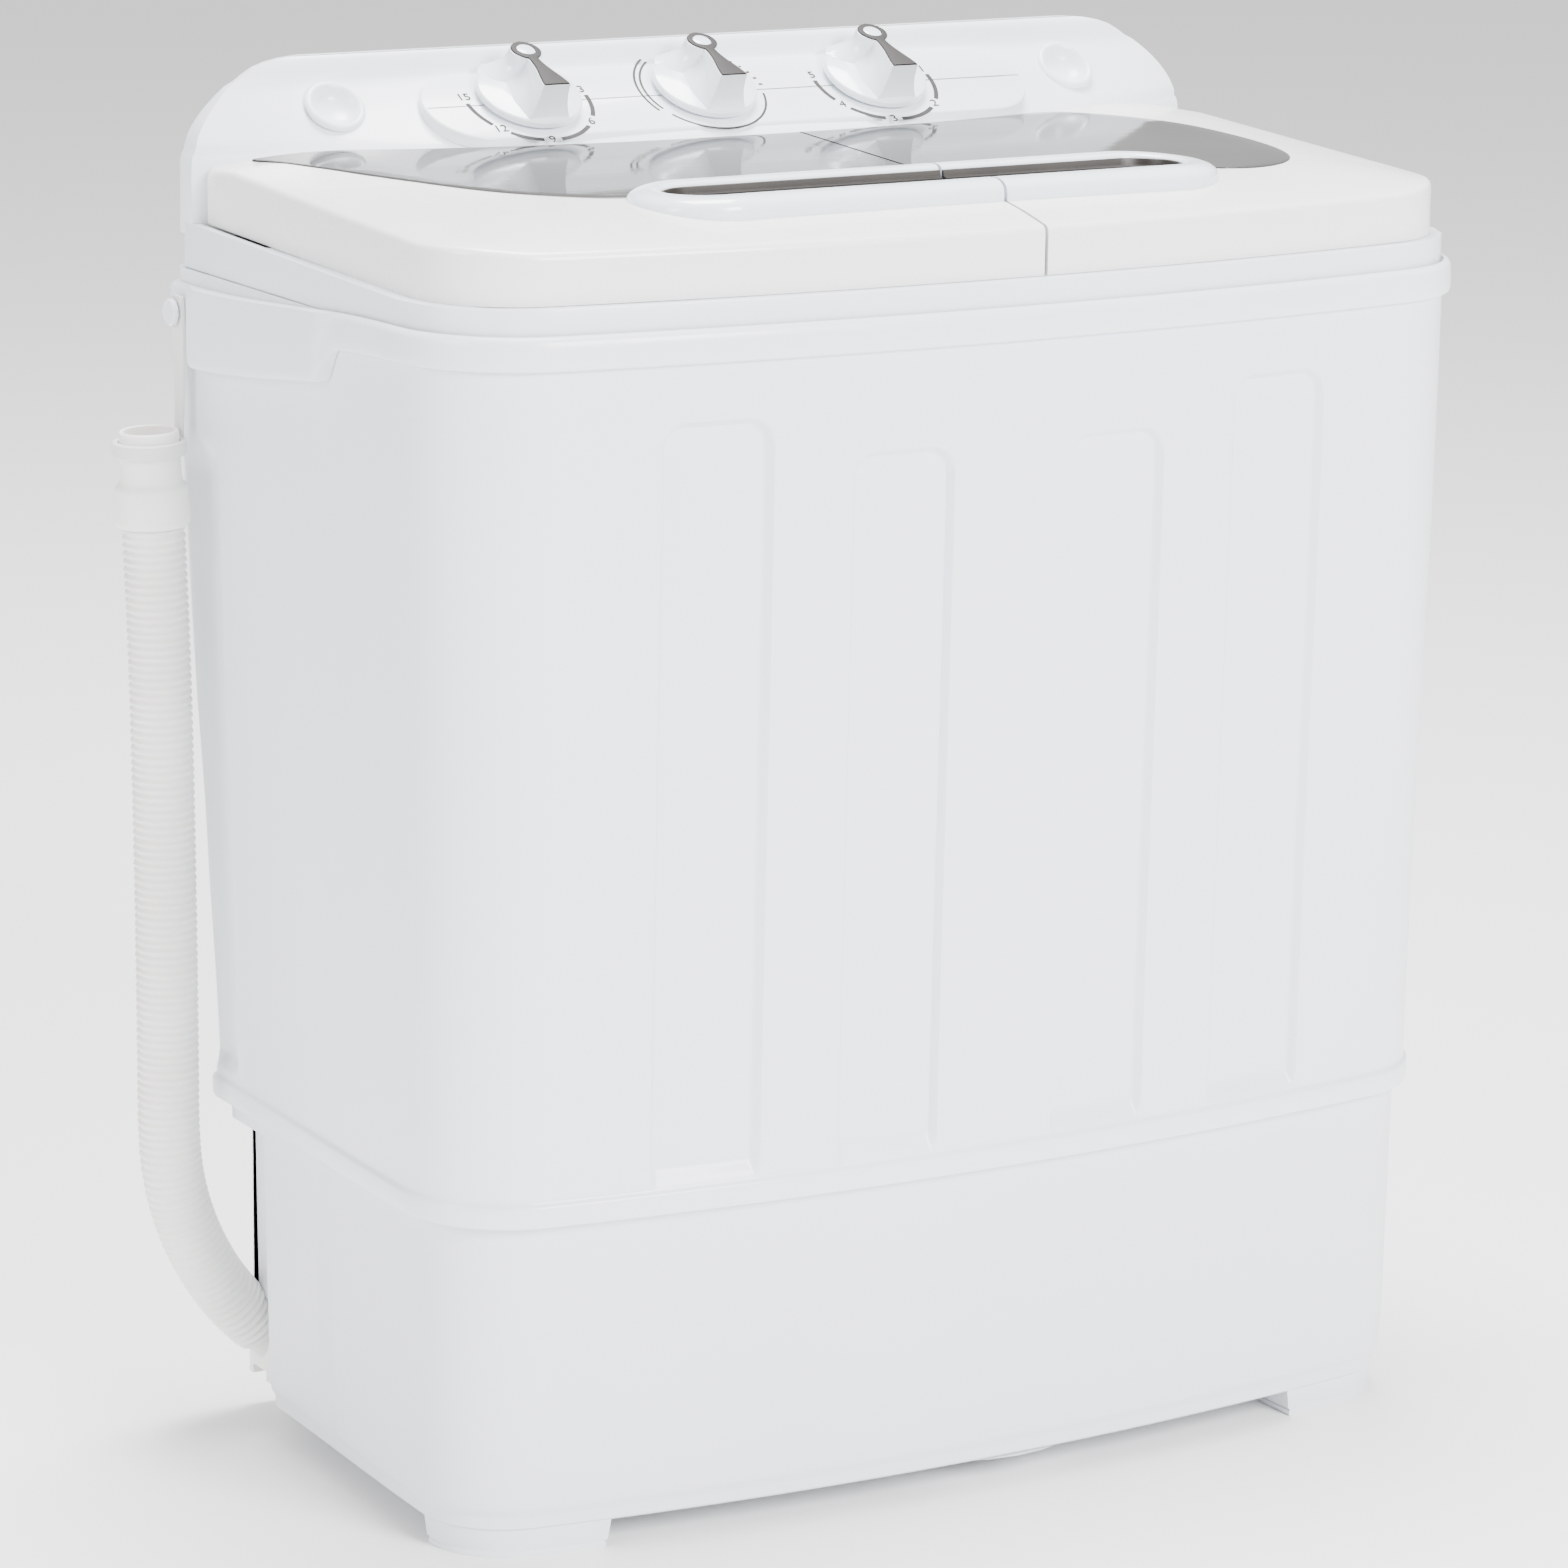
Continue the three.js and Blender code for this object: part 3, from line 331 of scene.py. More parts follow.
def smokedPlastic(name):
    shade = Shade(name)
    cloud = shade.noise(9.0, 3.0)
    streak = shade.node("ShaderNodeMapping", {}, {"Vector": shade.coordinates, "Scale": (6.0, 60.0, 6.0)})
    smear = shade.noise(2.4, 4.0, 0.6, streak)
    shade.set(
        Base_Color=shade.mix(shade.ramp(cloud, 0.3, 0.7), rgb(0.036, 0.035, 0.034),
        rgb(0.050, 0.048, 0.046)),
        Roughness=0.05 + shade.ramp(smear, 0.5, 0.8) * 0.05,
        Normal=shade.bump(smear + shade.noise(30.0) * 0.4, 0.06, 0.0006), IOR=1.28)
    return shade.material


def hosePlastic(name):
    shade = Shade(name)
    cloud = shade.noise(14.0, 3.0)
    rings = shade.noise(420.0, 2.0)
    shade.set(
        Base_Color=shade.mix(shade.ramp(cloud, 0.35, 0.7), rgb(0.90, 0.90, 0.875), rgb(0.84, 0.84, 0.81)),
        Roughness=0.42 + rings * 0.08, Normal=shade.bump(rings, 0.12, 0.0003),
        Subsurface_Weight=0.25, Subsurface_Scale=0.004, IOR=1.5)
    return shade.material


def plainMetal(name, colour, second, roughness, metallic=1.0):
    shade = Shade(name)
    cloud = shade.noise(40.0, 4.0, 0.6)
    brushed = shade.noise(1.0, 3.0, 0.6, shade.node(
        "ShaderNodeMapping", {}, {"Vector": shade.coordinates, "Scale": (900.0, 900.0, 60.0)}))
    shade.set(
        Base_Color=shade.mix(shade.ramp(cloud, 0.35, 0.7), colour, second), Metallic=metallic,
        Roughness=roughness + brushed * 0.12, Normal=shade.bump(brushed, 0.1, 0.0002))
    return shade.material


def darkPlastic(name, colour, second, roughness, strength=0.2):
    shade = Shade(name)
    cloud = shade.noise(30.0, 4.0, 0.6)
    grain = shade.noise(1200.0, 2.0)
    shade.set(
        Base_Color=shade.mix(shade.ramp(cloud, 0.35, 0.7), colour, second),
        Roughness=roughness + cloud * 0.12, Normal=shade.bump(grain + cloud * 0.5, strength, 0.0003))
    return shade.material


finishes = {
    "cabinet": mouldedPlastic("cabinetPlastic", rgb(0.800, 0.830, 0.870), rgb(0.775, 0.808, 0.850), 0.30,
    0.10, 0.25),
    "base": mouldedPlastic("basePlastic", rgb(0.770, 0.795, 0.830), rgb(0.745, 0.770, 0.805), 0.38, 0.14),
    "lid": mouldedPlastic("lidPlastic", rgb(0.850, 0.850, 0.842), rgb(0.832, 0.832, 0.823), 0.24, 0.08,
    0.3),
    "grip": mouldedPlastic("gripPlastic", rgb(0.800, 0.835, 0.885), rgb(0.775, 0.812, 0.862), 0.18, 0.06,
    0.5),
    "smoked": smokedPlastic("smokedPlastic"),
    "slot": darkPlastic("slotPlastic", rgb(0.012, 0.008, 0.006), rgb(0.020, 0.014, 0.011), 0.38),
    "knob": mouldedPlastic("knobPlastic", rgb(0.780, 0.825, 0.885), rgb(0.755, 0.800, 0.862), 0.14, 0.04,
    0.6),
    "inlay": darkPlastic("inlayPlastic", rgb(0.012, 0.009, 0.0085), rgb(0.017, 0.0135, 0.0125), 0.6),
    "print": darkPlastic("dialPrint", rgb(0.016, 0.014, 0.015), rgb(0.024, 0.021, 0.022), 0.6),
    "hose": hosePlastic("hosePlastic"),
    "hanger": mouldedPlastic("hangerPlastic", rgb(0.74, 0.74, 0.73), rgb(0.70, 0.70, 0.69), 0.4, 0.12),
    "tub": mouldedPlastic("tubPlastic", rgb(0.80, 0.82, 0.84), rgb(0.77, 0.79, 0.81), 0.32, 0.1, 0.2),
    "steel": plainMetal("plainSteel", rgb(0.55, 0.56, 0.57), rgb(0.46, 0.47, 0.48), 0.3),
    "rubber": darkPlastic("blackRubber", rgb(0.028, 0.028, 0.028), rgb(0.045, 0.045, 0.045), 0.7, 0.3),
    "motor": plainMetal("motorPaint", rgb(0.20, 0.215, 0.235), rgb(0.16, 0.17, 0.19), 0.4, 0.6),
    # Black plastic; also the painted shade on the studs that stand in for the spin basket's holes.
    "black": darkPlastic("blackPlasticAndHoleShade", rgb(0.022, 0.023, 0.026), rgb(0.034, 0.035, 0.038), 0.42),
}
slotOf = {entry["node"]: entry["material_slot"] for entry in frame["record"]["subparts"]}
print("materials done")


def finished(thing, look, body, *nodes):  # gives a made piece its material, its body and what it stands for
    thing.data.materials.clear()
    thing.data.materials.append(finishes[look])
    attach(thing, body)
    if nodes:
        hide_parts(*nodes)
    return thing


# The cabinet's plan, as wide as the machine.

cabinet = {
    "half": 288, "front": -160, "rear": 150, "bow": 24, "corner": 52, "rimTop": 588, "rimBottom": 572,
    "taper": 0.035, "draft": 8,
}


def cabinetPlan(inset=0.0, rear=150.0, frontSteps=80, cornerSteps=14, sideSteps=16, low=0.0):
    half = cabinet["half"] - inset
    corner = cabinet["corner"] - inset
    flat = half - corner
    bow = cabinet["bow"]
    lean = math.atan(2 * bow * flat / half ** 2)
    radius = corner / (1 - math.sin(lean))

    def frontAt(x):
        return cabinet["front"] + inset + bow * (x / half) ** 2

    right = [(flat * i / frontSteps, frontAt(flat * i / frontSteps)) for i in range(frontSteps + 1)]
    for i in range(1, cornerSteps + 1):
        angle = lean + (math.pi / 2 - lean) * i / cornerSteps
        right.append((flat + radius * (math.sin(angle) - math.sin(lean)),
                      frontAt(flat) + radius * (math.cos(lean) - math.cos(angle))))
    back = rear - inset
    start, stop = right[-1][1], back - 10
    for i in range(1, sideSteps + 1):
        right.append((half, start + (stop - start) * i / sideSteps))
    for i in range(1, 5):
        angle = math.pi / 2 * i / 4
        right.append((half - 10 + 10 * math.cos(angle), back - 10 + 10 * math.sin(angle)))
    left = [(-x, y) for x, y in reversed(right[1:])]

    # Lower down, the sides draw in towards the back.
    def drawn(x, y):
        return (x * (1 - low * smooth(y, -120, 150)), y)
    return [drawn(x, y) for x, y in right + left]


def ringAt(plan, z):
    return [(x, y, z(x, y) if callable(z) else z) for x, y in plan]


def lowAt(z):  # how far the sides are drawn in at a height
    return cabinet["taper"] * (1 - smooth(z, -60, 580))


# The drain hose, its cuff and its hanger.

hose = {
    "radius": 15.5, "pitch": 3.9, "ribDepth": 1.5, "sides": 40,
    "path": [
        (-255.4, 128, 44.5), (-269.9, 128, 59.6), (-282.2, 128, 76.5), (-292, 128, 95),
        (-299.2, 128, 114.7),
        (-303.5, 128, 135.1), (-305, 128, 156), (-305.2, 128, 200), (-305.5, 128, 250), (-306, 128, 300),
        (-306.8, 128, 350), (-308, 128, 400), (-309.2, 128, 432), (-310.4, 128, 460),
    ],
}


def finePath(points, step):
    result = []
    for i in range(len(points) - 1):
        p0 = Vector(points[max(i - 1, 0)])
        p1, p2 = Vector(points[i]), Vector(points[i + 1])
        p3 = Vector(points[min(i + 2, len(points) - 1)])
        if i == 0:
            p0 = p1 * 2 - p2
        if i == len(points) - 2:
            p3 = p2 * 2 - p1
        span = (p2 - p1).length
        t0 = 0.0
        t1 = t0 + math.sqrt((p1 - p0).length)
        t2 = t1 + math.sqrt(span)
        t3 = t2 + math.sqrt((p3 - p2).length)
        count = max(int(span / step), 1)
        for k in range(count):
            t = t1 + (t2 - t1) * k / count
            a1 = p0.lerp(p1, (t - t0) / (t1 - t0))
            a2 = p1.lerp(p2, (t - t1) / (t2 - t1))
            a3 = p2.lerp(p3, (t - t2) / (t3 - t2))
            b1 = a1.lerp(a2, (t - t0) / (t2 - t0))
            b2 = a2.lerp(a3, (t - t1) / (t3 - t1))
            result.append(b1.lerp(b2, (t - t1) / (t2 - t1)))
    result.append(Vector(points[-1]))
    return result


def evenly(points, step):
    lengths = [0.0]
    for a, b in zip(points, points[1:]):
        lengths.append(lengths[-1] + (b - a).length)
    total = lengths[-1]
    count = round(total / step)
    result, i = [], 0
    for k in range(count + 1):
        want = total * k / count
        while i < len(points) - 2 and lengths[i + 1] < want:
            i += 1
        part = (want - lengths[i]) / max(lengths[i + 1] - lengths[i], 1e-9)
        result.append(points[i].lerp(points[i + 1], min(part, 1)))
    return result, total


def sweptRings(points, radiusAt, sides):
    rings = []
    for i, p in enumerate(points):
        along = (points[min(i + 1, len(points) - 1)] - points[max(i - 1, 0)]).normalized()
        across = Vector((0, 1, 0))
        up = along.cross(across).normalized()
        across = up.cross(along).normalized()
        r = radiusAt(i)
        rings.append([tuple(p + across * (r * math.cos(2 * math.pi * k / sides))
                            + up * (r * math.sin(2 * math.pi * k / sides))) for k in range(sides)])
    return rings


ribShape = [0.0, -0.12, -0.75, -1.0, -0.75, -0.12]  # one rib, from its crown down into its groove and back
centres, hoseLength = evenly(finePath(hose["path"], 1.0), hose["pitch"] / len(ribShape))


def hoseRadiusAt(i):
    if i < 2 or i > len(centres) - 3:
        return hose["radius"] - hose["ribDepth"] * 0.4
    return hose["radius"] + ribShape[i % len(ribShape)] * hose["ribDepth"]


hoseRings = sweptRings(centres, hoseRadiusAt, hose["sides"])
drainHose = makeMesh("drainHose", *loft(hoseRings), angle=75)
finished(drainHose, "hose", "cabinet", "drain_hose")


def hoseEndMatrix():
    up = (centres[-1] - centres[-3]).normalized()
    turn = Vector((0, 0, 1)).rotation_difference(up).to_matrix().to_4x4()
    return Matrix.Translation(centres[-1]) @ turn


cuffProfile = [(12.2, 0.4), (15.2, 0.4), (17.2, 1.0), (18.6, 2.4), (18.9, 4.5), (17.9, 18.6), (17.6, 20.4),
    (16.6, 21.6),
               (15.6, 22.4), (15.1, 24.5), (14.75, 28), (14.7, 46.6), (14.3, 47.7), (13.6, 48),
               (12.6, 47.6),
               (12.3, 46.4), (12.2, 20)]
hoseCuff = makeMesh("hoseCuff", *loft(moved(lathe(cuffProfile, 72), hoseEndMatrix()), loop=True), angle=50)
finished(hoseCuff, "hose", "cabinet", "hose_cuff")


def addHanger():
    peg = Vector((-294.2, 132, 564))
    strip = [(572, 0.0), (566, 0.0), (552, 0.6), (540, 1.6), (528, 1.0), (512, -1.0), (500, -2.0)]
    width = [9, 12, 13, 12, 9, 7, 7]
    rings = []
    for (z, out), w in zip(strip, width):
        x0 = peg.x - 1.8 + out * 0.3
        y = peg.y - 1 if z > 530 else peg.y - 2.5
        rings.append([(x0, y - w / 2, z), (x0 + 2.0, y - w / 2, z), (x0 + 2.0, y + w / 2, z),
            (x0, y + w / 2, z)])
    strap = makeMesh("strap", *loft(rings))
    hole = makeMesh("hole", *loft(moved(lathe([(5.0, -12), (5.0, 12)], 32),
        at(peg.x, peg.y, peg.z) @ Matrix.Rotation(
        math.pi / 2, 4, "Y"))))
    cutBy(strap, hole)
    bevelled(strap, 0.6, 2)
    clip = makeMesh("clip", *loft(moved(lathe([(15.3, 36.4), (15.3, 42.6), (15.9, 43), (17.6, 43),
        (18.2, 42.4), (
        18.2, 36.6), (17.6, 36), (15.9, 36)], 64), hoseEndMatrix()), loop=True))
    finished(joined("hoseHanger", strap, clip), "hanger", "cabinet", "hose_hanger")


addHanger()
hoseExit = Vector(place(hose["path"][0]))
hoseLength * mm
[tuple(Vector(place(p))) for p in centres[::6]]
print("hose done")


# The outer casing.

casing = {
    "flutes": [(-185, -128, 545), (-87, -32, 525), (32, 87, 525), (128, 185, 545)],
    "fluteDepth": 4.3, "fluteCorner": 13, "fluteEdge": 3.4, "columns": 190,
    "channel": (108, 136, 505), "channelDepth": 4.2,
}


def fluteDepthAt(x, z):
    deepest = 0.0
    for x0, x1, top in casing["flutes"]:
        if x0 - 1 < x < x1 + 1 and z < top + 1:
            r = casing["fluteCorner"]
            qx = abs(x - (x0 + x1) / 2) - (x1 - x0) / 2 + r
            qz = z - top + r
            edge = math.hypot(max(qx, 0), max(qz, 0)) + min(max(qx, qz), 0) - r
            deepest = max(deepest, smooth(-edge, 0, casing["fluteEdge"]) * smooth(z, 179, 190))
    return deepest * casing["fluteDepth"]


def casingPoint(x, y, z):
    side = cabinet["half"] * 0.93
    if y < -90 and abs(x) < 236:
        return (x, y + fluteDepthAt(x, z), z)
    low, high, top = casing["channel"]
    if x < -side and low - 3 < y < high + 3:
        depth = smooth(y, low - 2, low + 3) * (1 - smooth(y, high - 3, high + 2))
        depth *= smooth(z, 182, 192) * (1 - smooth(z, top - 22, top))
        return (x + depth * casing["channelDepth"], y, z)
    return (x, y, z)


def addCasing():
    profile = [(7.0, 166.0), (5.0, 166.2), (3.0, 167.3), (2.5, 169.5), (2.5, 176.6), (2.9, 177.7),
        (4.0, 178.6),
               (4.3, 179.6), (4.3, 182.0)]
    heights = [184 + 1.6 * i for i in range(6)] + [200, 230, 270, 320, 370, 420, 460, 480]
    heights += [484 + 1.6 * i for i in range(42)] + [553, 560, 570, 580, 584]
    profile += [(4.3 * (1 - smooth(z, 178, 560)), z) for z in heights]
    rings = []
    for inset, z in profile:
        rear = cabinet["rear"] - cabinet["draft"] * (1 - smooth(z, 178, 580)) + 1.2
        plan = cabinetPlan(inset, rear, casing["columns"], 18, 46, lowAt(z))
        rings.append([casingPoint(x, y, z) for x, y in plan])
    for inset, z in ((6.0, 584), (14.0, 560), (14.0, 172), (9.5, 166.0)):
        rear = cabinet["rear"] - cabinet["draft"] + 1.2
        rings.append(ringAt(cabinetPlan(inset, rear, casing["columns"], 18, 46, lowAt(z)), z))
    shell = makeMesh("outerCasing", *loft(rings, loop=True), angle=40)
    finished(shell, "cabinet", "cabinet", "outer_casing")


addCasing()

# The base and its feet.

base = {"recess": (-257, 88, 157), "outletRecess": (-232, 104, 62), "rib": (12, 20)}


def addBase():
    profile = [(18.0, 14.0), (15.2, 14.2), (14.0, 15.4), (13.6, 20.6), (13.4, 21.6), (11.6, 24.4),
        (11.2, 26.5),
               (11.0, 32.0), (10.4, 50.0), (10.0, 90.0), (9.6, 130.0), (9.2, 171.5), (13.0, 171.5),
               (16.0, 60.0),
               (19.0, 18.0)]
    rings = []
    for inset, z in profile:
        rear = cabinet["rear"] - cabinet["draft"]
        plan = cabinetPlan(inset, rear, 60, 18, 60, lowAt(z))
        ring = []
        for x, y in plan:
            if x < -250 and inset < 12.5:
                low, high = base["rib"]
                groove = smooth(y, low - 1.5, low + 0.5) * (1 - smooth(y, high - 0.5, high + 6))
                x += groove * 2.6 * smooth(z, 24, 60) + groove * 1.2
            ring.append((x, y, z))
        rings.append(ring)
    skirt = makeMesh("baseSkirt", *loft(rings, loop=True), angle=40)
    plate = makeMesh("basePlate", *loft([ringAt(cabinetPlan(15, cabinet["rear"] - cabinet["draft"], 60, 18,
        16, lowAt(20)), z)
                                         for z in (16.5, 19.5)]))
    def block(edge, front, low, high, back=200):
        corners = [(-330, front), (edge, front), (edge, back), (-330, back)]
        return makeMesh("block", *loft([[(x, y, z) for x, y in corners] for z in (low, high)]))

    # Behind the hose the side steps in, and deeper where the outlet comes through.
    edge, front, top = base["recess"]
    deepEdge, deepFront, deepTop = base["outletRecess"]
    lining = makeMesh("lining", *loft([
        [(side, front - 4, z), (deepEdge + 4, front - 4, z), (deepEdge + 4, rear, z), (side, rear, z)]
        for side, rear, z in ((-262.5, 127.6, 19), (-265.5, 131, 60), (-267.5, 132, top + 10))]))
    for part in (skirt, plate, lining):
        cutBy(part, block(edge, front, -20, top), 40)
        cutBy(part, block(deepEdge, deepFront, -20, deepTop), 40)
    finished(joined("baseSkirt", skirt, plate, lining), "base", "cabinet", "base_skirt")


addBase()


def addFeet():
    for side, sign in (("Left", -1), ("Right", 1)):
        outline = []
        for x, y in cabinetPlan(15.5, 150, 60, 18, 16, lowAt(5)):
            if sign * x > 196 and y < -71:
                outline.append((x, y))
        if sign > 0:
            outline = outline + [(196, -71)]
        else:
            outline = [(-196, -71)] + outline
        cx = sum(p[0] for p in outline) / len(outline)
        cy = sum(p[1] for p in outline) / len(outline)

        def scaled(k, z):
            return [(cx + (x - cx) * k, cy + (y - cy) * k, z) for x, y in outline]

        rings = [scaled(0.93, 0), scaled(0.95, 0.6), scaled(0.95, 2.6), scaled(0.93, 3.0),
            scaled(0.935, 3.5),
                 scaled(0.965, 4.2), scaled(1.0, 14)]
        foot = makeMesh("footFront" + side, *loft(rings), angle=40)
        finished(foot, "base", "cabinet", "foot_front_" + side.lower())
        profile = [(8.5, 0), (9.4, 0.5), (9.6, 2.4), (9.0, 3.0), (9.3, 3.4), (11.5, 7.5), (15.2, 13.4),
            (15.2, 14)]
        small = makeMesh("footRear" + side, *loft(moved(lathe(profile, 40), at(sign * 205, 118))), angle=40)
        finished(small, "base", "cabinet", "foot_rear_" + side.lower())


addFeet()

# The rim band with its side grips and the hose peg.

rim = {"fall": 18, "gripFront": -22, "gripRear": 128, "gripDrop": 15, "gripOut": 6.0}


def addRim():
    def fall(y):
        return rim["fall"] * smooth(y, -90, 130)

    def grip(x, y):
        if abs(x) < 200:
            return 0.0
        return smooth(y, rim["gripFront"] - 8, rim["gripFront"] + 5) * (1 - smooth(y, rim["gripRear"] - 16,
                                                                                 rim["gripRear"] + 4))

    def bottom(x, y):
        return cabinet["rimBottom"] - fall(y) - grip(x, y) * rim["gripDrop"]

    def top(x, y):
        return cabinet["rimTop"] - fall(y) * 0.6

    sections = [(-0.3, 0.0, 0), (-2.6, 0.0, 0), (-3.6, 0.7, 0), (-4.0, 1.9, 0), (-4.0, 5.0, 0),
        (-4.0, -6.5, 1),
                (-3.7, -2.6, 1), (-2.8, -1.0, 1), (-1.4, -0.2, 1), (-0.3, 0.0, 1)]
    rings = []
    for inset, dz, high in sections:
        ring = []
        for x, y in cabinetPlan(inset, 150, 60, 18, 90, 0):
            out = grip(x, y) * rim["gripOut"] if inset < -1 else 0.0
            z = top(x, y) - grip(x, y) * 9 * (1 if inset < -2 else 0) if high else bottom(x, y)
            ring.append((x + math.copysign(out, x), y, z + dz))
        rings.append(ring)
    band = makeMesh("rimBand", *loft(rings, loop=True), angle=45)
    profile = [(0.1, 0), (4.4, 0), (4.4, 5.6), (6.4, 6.2), (6.6, 8.0), (6.0, 8.9), (0.1, 9)]
    turn = Matrix.Translation(Vector((-291, 132, 564))) @ Matrix.Rotation(-math.pi / 2, 4, "Y")
    peg = makeMesh("peg", *loft(moved(lathe(profile, 40), turn)), angle=40)
    finished(joined("rimBand", band, peg), "cabinet", "cabinet", "rim_band")


addRim()
print("cabinet done")

# The console.

console = {
    "footY": 84, "footZ": 640, "slope": 29, "earY": 126, "rise": 1.6, "knobUp": 37, "topY": 141,
    "topZ": 671.6, "knobX": [-112, -12, 88],
    "panel": (-170, 176, 7, 62, 28), "inlets": [-212, 212], "inletZ": 659,
}
slope = math.radians(console["slope"])
onFace = Matrix.Translation(Vector((0, console["footY"], console["footZ"]))) @ Matrix.Rotation(slope, 4,
    "X")


def consoleFoot(x):
    return console["footY"] + (console["earY"] + 3 - console["footY"]) * abs(x / 281) ** 2.4


def consolePlan(inset, part, lean=0.0, steps=96):  # part says how far up the face a ring is
    half = 287 - inset
    rear = 150.0
    points = []
    for i in range(steps + 1):
        x = -half + 2 * half * i / steps
        foot = consoleFoot(x)
        points.append((x, min(foot + part * (console["topY"] - foot), console["topY"]) + lean))
    for i in range(1, 7):
        angle = math.pi / 2 * i / 6
        points.append((half - 7 + 7 * math.cos(angle), rear - 7 + 7 * math.sin(angle)))
    for i in range(0, 6):
        angle = math.pi / 2 + math.pi / 2 * i / 6
        points.append((-half + 7 + 7 * math.cos(angle), rear - 7 + 7 * math.sin(angle)))
    return points


def roundedPlan(x0, x1, y0, y1, radius, steps=12):
    points = []
    for cx, cy, start in ((x1 - radius, y0 + radius, -90), (x1 - radius, y1 - radius, 0),
                          (x0 + radius, y1 - radius, 90), (x0 + radius, y0 + radius, 180)):
        for i in range(steps + 1):
            angle = math.radians(start + 90 * i / steps)
            points.append((cx + radius * math.cos(angle), cy + radius * math.sin(angle)))
    return points


def grown(box, by):
    x0, x1, y0, y1, radius = box
    return (x0 - by, x1 + by, y0 - by, y1 + by, max(radius + by, 0.5))


def inletMatrix(x):
    foot = consoleFoot(x)
    rise, run = console["topZ"] - console["footZ"], console["topY"] - foot
    y = foot + run * (console["inletZ"] - console["footZ"]) / rise
    return at(x, y, console["inletZ"]) @ Matrix.Rotation(math.atan2(rise, run), 4, "X")


def addConsole():
    def part(z):
        return (z - console["footZ"]) / (console["topZ"] - console["footZ"])

    levels = [(600.6, 0.3, 0, 0), (601.4, 0, 0, 0), (632, 0, 0, 0), (636, 0.2, 0, 0.1),
        (638.6, 0.9, 0, 0.6),
              (640.4, 2.0, 0, 1.6)]
    z = 643.0
    while z < 671:
        t = part(z)
        levels.append((z, 2.2 + 24 * t ** 1.75, t, 0))
        z += 3.0
    levels += [(672.2, 28.5, 0.985, 0), (675.4, 33, 1, 0.2), (678.6, 38.5, 1, 0.8), (680.8, 45, 1, 1.6),
               (682.2, 52, 1, 2.6), (683, 60, 1, 4.2)]
    shell = makeMesh("controlConsole", *loft([ringAt(consolePlan(inset, along, lean), z)
                                              for z, inset, along, lean in levels]), angle=50)
    rise = console["rise"]
    edge = [(0, -5), (0, 0.3), (-0.25, 0.9), (-0.8, 1.35), (-1.6, rise)]
    island = makeMesh("island", *loft(moved([ringAt(roundedPlan(*grown(console["panel"], by)), h) for by,
        h in edge],
                                            onFace)))
    for x in console["inlets"]:
        cup = makeMesh("cup", *loft(moved(lathe([(14.8, -12), (14.8, 12)], 64), inletMatrix(x))))
        cutBy(shell, cup, 50)
    finished(joined("controlConsole", shell, island), "cabinet", "cabinet", "control_console")
    for name, x in zip(("Left", "Right"), console["inlets"]):
        dish = [(14.6, -9), (14.6, 0.2), (15.6, 0.5), (15.4, 1.7), (14.6, 2.5), (13.6, 2.9), (12.6, 2.6),
            (11.4, 1.2),
                (9.4, -1.6), (6.5, -3.2), (3.0, -3.9), (0.2, -4.0)]
        inlet = makeMesh("waterInlet" + name, *loft(moved(lathe(dish, 64), inletMatrix(x))), angle=50)
        finished(inlet, "cabinet", "cabinet", "water_inlet_" + name.lower())


addConsole()

# The knobs.

knob = {"radius": 27, "base": 1.9, "eyeUp": 13.0, "eye": 8.2, "waist": 2.7, "foot": 7.6, "front": 22.0}


def finWidth(u):  # half the width of the grip's top, u millimetres down the slope from the middle
    fromEye = u + knob["eyeUp"]
    ring = math.sqrt(max(knob["eye"] ** 2 - fromEye ** 2, 0.0)) if fromEye < knob["eye"] else 0.0
    flank = knob["waist"] + (knob["foot"] - knob["waist"]) * smooth(u, -4,
        knob["front"] + 3) if fromEye > 0 else 0.0
    h = max(5.0 - abs(ring - flank), 0) / 5.0
    return max(ring, flank) + h * h * 5.0 / 4 * (1 if fromEye > 0 else 0)


def finTop(u):
    return knob["base"] + 20.0 + 4.2 * (u + knob["eyeUp"]) / 35


def finStations():
    start, stop = -knob["eyeUp"] - knob["eye"], knob["front"]
    first = [start + (stop - start) * (1 - math.cos(math.pi / 120 * i)) for i in range(1, 24)]
    rest = 44
    return first + [first[-1] + (stop - first[-1]) * i / rest for i in range(1, rest + 1)]


def finOutline(part, trim=0.0):  # part 0 at the disc, 1 at the top
    flare = (1 - part) ** 2.4
    start = -knob["eyeUp"] - knob["eye"]
    right, left = [], []
    for u in finStations():
        spread = 2.2 + 10.5 * (1 - smooth(u, 4, knob["front"] + 6))
        half = max(finWidth(u) - trim, 0.15) + flare * spread
        across = u - flare * 3.0 * (1 - smooth(u, start, start + 20)) + flare * 1.6 * smooth(u, 12,
            knob["front"])
        right.append((half, -across))
        left.append((-half, -across))
    return right + list(reversed(left))


